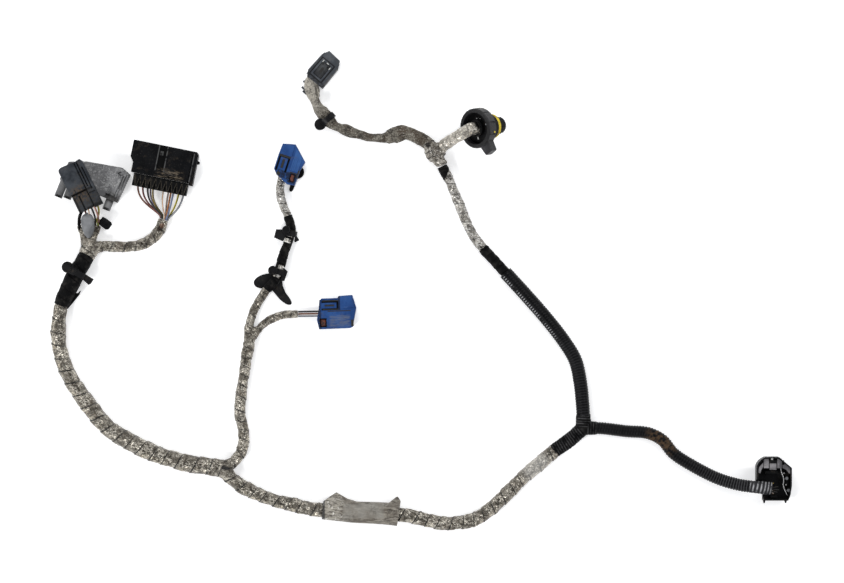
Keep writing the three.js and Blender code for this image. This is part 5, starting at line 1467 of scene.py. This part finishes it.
blue_two_wires()
winding("right_wire_wrap", right_branch, -WRAP_FROM_RIGHT_END, 0, RIGHT_TUBE - 0.001, "ringed_grey",
        "grey_wrap", seed=91, pitch=0.0027, step=0.0005)


# Connectors and clips carried over from the frame with rounded edges

for node, finish, edge in [
    ("black_housing", "black_marked", 0.3), ("black_wire_comb", "black_comb", 0.2),
    ("slate_housing", "slate", 0.3), ("slate_cover", "slate", 0.5),
    ("grey_housing", "grey", 0.4), ("small_plug", "black", 0.25),
    ("blue_one_housing", "blue", 0.3), ("blue_one_seal", "orange", 0.4), ("blue_one_slide", "black", 0.4),
    ("blue_two_housing", "blue", 0.3), ("blue_two_seal", "orange", 0.4),
    ("top_housing", "top_slate", 0.3), ("top_lock", "latch_slate", 0.2),
    ("right_housing", "black", 0.3), ("right_blade", "steel", 0.1),
    ("bayonet_plug", "black", 0.3), ("bayonet_seal", "yellow", 0.2),
    ("left_clip", "clip", 0.3), ("blue_upper_clip", "clip", 0.3), ("blue_lower_clip", "clip", 0.3),
    ("top_clip", "clip", 0.3),
]:
    add_piece(f"{node}_piece", softened(node, edge), [finish], [node])
add_piece("bayonet_ring_piece", softened("bayonet_ring", 0.35), ["ring"], ["bayonet_ring"], body=RING)


# Small mouldings that the connectors and clips carry

def black_connector_details():
    hook = slab(black_group, [(-4.4, 26), (-1.2, 26), (-1.2, 22), (-2.4, 22), (-2.4, 24.4), (-4.4, 24.4)],
                22, 24.4, 0.2)
    lip = block(black_group, -29, 29, 2.2, 3.2, 23.4, 24.6, 0.2)
    add_piece("black_housing_hook", joined_meshes(hook, lip), ["black_marked"])


def blue_connector_details():
    top_one, top_two = 17, 20
    lever_one = block(blue_one_group, -8.6, -3.9, -8, 4, top_one - 2.6, top_one - 0.4, 0.35)
    hood_outline = [(-12.6, 6.6), (-1, 6.6), (0.4, 8), (0, 18.6), (-11.6, 16.2), (-12.6, 14)]
    hood_one = slab(blue_one_group, hood_outline, top_one - 1, top_one + 0.8, 0.5)
    add_piece("blue_one_latch", joined_meshes(lever_one, hood_one), ["blue"])
    slots_one = [block(blue_one_group, x0, x1, y0, y1, top_one - 0.8, top_one + 0.06, 0.1)
                 for x0, x1, y0, y1 in ((-7.4, -5.2, -6.5, 2.5), (-11.7, -0.7, 4.6, 6.6),
                                        (3.6, 10.6, -8.4, -7.4), (10.4, 12, -12, -4), (-9.5, -6, -14, -11))]
    add_piece("blue_one_slots", joined_meshes(*slots_one), ["mouth"])
    lever_two = block(blue_two_group, -9.3, -4.3, -13, 0, top_two - 2.6, top_two - 0.4, 0.35)
    lip_two = block(blue_two_group, -14, -12.6, -15.5, 1, top_two - 0.6, top_two + 0.5, 0.2)
    add_piece("blue_two_latch", joined_meshes(lever_two, lip_two), ["blue"])
    slots_two = [block(blue_two_group, x0, x1, y0, y1, top_two - 0.8, top_two + 0.06, 0.1)
                 for x0, x1, y0, y1 in ((-7.6, -6, -11.5, -2), (-3.4, -2.4, -14, 2), (-12, -11, -14, 2),
                                        (8, 14.6, 14, 16.6), (-1.6, -0.6, -9, 14))]
    add_piece("blue_two_slots", joined_meshes(*slots_two), ["mouth"])


def top_connector_details():
    glints = [block(top_group, x - wide, x + wide, y - long, y + long, 20.1, 20.9, 0.15)
              for x, y, wide, long in ((-4.6, 6.8, 0.3, 1.3), (0.6, 7.4, 1.2, 0.4), (5.2, 4.6, 0.3, 1.3))]
    add_piece("top_lock_glints", joined_meshes(*glints), ["pale_dot"])
    tongue = slab(top_group, [(-3.4, -8.2), (3.4, -8.2), (3.4, 3), (1.8, 5.8), (-1.8, 5.8), (-3.4, 3)],
                  17, 20.2, 0.7)
    window = slab(top_group, [(-1.5, -4.4), (1.2, -4.4), (1.2, -0.6), (0.2, 2.2), (-1.5, 1)], 20, 20.34, 0.1)
    add_piece("top_latch", tongue, ["latch_slate"])
    add_piece("top_latch_window", window, ["mouth"])
    rail = [block(top_group, x0, x1, -14, 14, 18.6, 19.5, 0.25) for x0, x1 in ((-9.6, -8.8), (9.4, 10.4))]
    add_piece("top_housing_rails", joined_meshes(*rail), ["top_slate"])


def right_connector_details():
    strips = [block(right_group, x0, x1, y0, y1, 24.4, 25.8, 0.3)
              for x0, x1, y0, y1 in ((-10.4, -5.4, 11.7, 21.2), (-4.6, 2.2, 10, 16.4), (3, 7.6, 11.7, 21.2))]
    strips.append(slab(right_group, [(-16.2, 7.2), (-15.2, 12.8), (-10.8, 17.4), (-10.8, 13.2), (-12.9, 9.8),
                                     (-13.8, 6.4)], 23.6, 25, 0.3))
    strips.append(slab(right_group, [(8, 12), (12, 10), (15, 6.2), (17, 6.4), (17, 12.6), (12.6, 15.7),
                                     (8, 17.4)], 23.6, 25, 0.3))
    add_piece("right_housing_strips", joined_meshes(*strips), ["scuffed_grey"])
    dots = [boss(right_group, x, y, 20, 22.6, 1.6, 0.1) for x, y in ((12.8, 1.5), (14.6, -10.5))]
    add_piece("right_housing_pins", joined_meshes(*dots), ["grey_wrap"])
    # A pale disc in the eyelet stands in for the lit floor seen through the hole
    eyelet = spun(right_group, (-2, 20.9, 0), [(1.1, 23.4), (1.1, 23.9), (0.9, 24)], 16)
    add_piece("right_housing_eyelet", eyelet, ["pale_dot"])
    inner = [block(right_group, x0, x1, y0, y1, 12.2, 19, 0.3)
             for x0, x1, y0, y1 in ((-9, 4, 6, 9), (-3, 3, -18, -15.6), (11.4, 15, -4, 8))]
    add_piece("right_housing_keys", joined_meshes(*inner), ["black"])
    mouth = right_branch.at(right_branch.length)
    strands = {"olive": [(1.6, 5.6)], "tan": [(2.6, -2.6), (1.6, -4.6)],
               "black": [(6, 2), (7, -1), (5.4, -3.4)]}
    for colour, ends in strands.items():
        meshes = []
        for dx, dy in ends:
            start = mouth + np.array([-0.002, dy * 0.5 * MM, 0.0015])
            end = mouth + np.array([dx * MM, dy * MM, 0.001])
            handle = np.array([0.002, 0, 0.001])
            meshes.append(wire_mesh(bezier(start, handle, end, handle * [-1, 1, 1], 10), 0.0013))
        add_piece(f"right_wire_ends_{colour}", joined_meshes(*meshes), [wire_finishes[colour], "mouth"])


def bayonet_details():
    dot = spun(bayonet_group, (0, 0, 0), [(0.9, 0), (0.9, 0.8), (0.5, 1.1)], 12)
    centre = Vector(bayonet_group.point(0, 0, 0))
    axis = Vector(bayonet_group.way(0, 1, 0))
    about = Matrix.Translation(centre) @ Matrix.Rotation(math.radians(INDEX_TURN), 4, axis)
    dot.transform(about @ Matrix.Translation(bayonet_group.way(0, 7.4, 19.6)) @ Matrix.Translation(-centre))
    add_piece("ring_index_dot", dot, ["yellow"], body=RING)
    ribs = []
    for k in range(16):
        angle = 2 * math.pi * k / 16
        x, z = 8.0 * math.cos(angle), 8.0 * math.sin(angle)
        ribs.append(spun(bayonet_group, (x, 0, z), [(0.55, 29.8), (0.55, 37.6)], 6, "Y"))
    add_piece("bayonet_nose_ribs", joined_meshes(*ribs), ["black"])
    lugs = []
    for angle in (1.7, 4.4):
        x, z = 15.2 * math.cos(angle), 15.2 * math.sin(angle)
        lugs.append(spun(bayonet_group, (x, 0, z), [(0.9, 0.5), (0.9, 4.6)], 8, "Y"))
    add_piece("bayonet_ring_lugs", joined_meshes(*lugs), ["grey_wrap"], body=RING)
    glints = [block(bayonet_group, x - long, x + long, 5.2, 6, z - wide, z + wide, 0.15)
              for x, z, long, wide in ((9.6, -2.6, 1.5, 0.5), (-9.8, -0.2, 0.4, 0.8), (-8.8, 4.2, 0.3, 0.6))]
    add_piece("bayonet_plug_glints", joined_meshes(*glints), ["pale_dot"])


def clip_details():
    group, height = station(left_trunk, 0.026, -1)
    top = height + 12
    add_piece("left_clip_bosses", joined_meshes(boss(group, -9.9, 0.2, top - 3, top + 1.2, 5.7),
                                                boss(group, -3.4, 0.4, top - 3, top + 0.6, 3.1)), ["clip"])
    for name, start, end, low, high, seed in (
            ("upper_silver_patch", 0.1185, 0.124, 55, 125, 1),
            ("upper_silver_patch_low", 0.1125, 0.1165, 70, 140, 2),
            ("lower_silver_patch", 0.084, 0.0885, 50, 110, 3),
            ("lower_silver_patch_low", 0.0755, 0.0795, 60, 130, 4)):
        patch = bare_patch(blue_one, start, end, BLUE_ONE_LEG / 2 + 2.4 * TAPE + 0.0004, low, high, seed)
        add_piece(name, patch, ["clean_foil"])
    group, height = station(blue_one, 0.082)
    add_piece("blue_lower_clip_boss", boss(group, -5.8, -0.5, height + 6, height + 9, 4.6), ["clip"])
    group, height = station(blue_one, 0.122)
    add_piece("blue_upper_clip_boss", boss(group, -4.7, 3, height + 5, height + 9, 3.9), ["clip"])
    group, height = station(top_branch, 0.119, -1)
    add_piece("top_clip_disc", boss(group, 9.2, -1, height - 2, height + 2, 5.8), ["clip"])


black_connector_details()
blue_connector_details()
top_connector_details()
right_connector_details()
bayonet_details()
clip_details()


# Paper label folded round the trunk

LABEL_HALF_WIDTH = 0.0092
LABEL_HALF_HEIGHT = 0.0079


def folded_label():
    line = right_trunk.stretch(LABEL_START, LABEL_START + LABEL_LENGTH, 0.001)
    marks = np.linspace(0, 1, len(line))
    sides = 48
    side, up = side_and_up(line)
    ears = np.interp(marks, [0, 0.05, 0.17, 0.32, 0.45, 0.86, 0.955, 1],
                     [0.0, 0.003, 0.0095, 0.0035, 0.001, 0.001, 0.0085, 0.004])
    flat_side = np.interp(marks, [0, 0.1, 0.4, 1], [0.0, 0.0005, 0.002, 0.003])
    bm = bmesh.new()
    shells = []
    for wall in (0.0, 0.0004):
        rings = []
        for i, centre in enumerate(line):
            ring = []
            for j in range(sides):
                angle = 2 * math.pi * j / sides
                c, s = math.cos(angle), math.sin(angle)
                across = LABEL_HALF_WIDTH * math.copysign(abs(c)**0.62, c)
                rise = LABEL_HALF_HEIGHT * math.copysign(abs(s)**0.8, s)
                pull = ears[i] if across < 0 else flat_side[i]
                pinch = 1 - 0.75 * min(1, abs(c) * pull / LABEL_HALF_WIDTH)
                across += math.copysign(pull * abs(c)**3, c)
                rise *= max(0.12, pinch) if abs(c) > 0.75 else 1
                shrink = 1 - wall / 0.009
                corner = centre + side[i] * across * shrink + up[i] * (rise * shrink + 0.0004)
                ring.append(bm.verts.new(corner))
            rings.append(ring)
        shells.append(rings)
    for n, rings in enumerate(shells):
        for i in range(len(line) - 1):
            for j in range(sides):
                k = (j + 1) % sides
                quad = (rings[i][j], rings[i][k], rings[i + 1][k], rings[i + 1][j])
                bm.faces.new(quad if n else quad[::-1])
    for i in (0, len(line) - 1):
        for j in range(sides):
            k = (j + 1) % sides
            bm.faces.new((shells[0][i][j], shells[0][i][k], shells[1][i][k], shells[1][i][j]))
    bmesh.ops.recalc_face_normals(bm, faces=bm.faces)
    add_piece("trunk_label", finished(bm, 50), ["label"], ["trunk_label"])


folded_label()
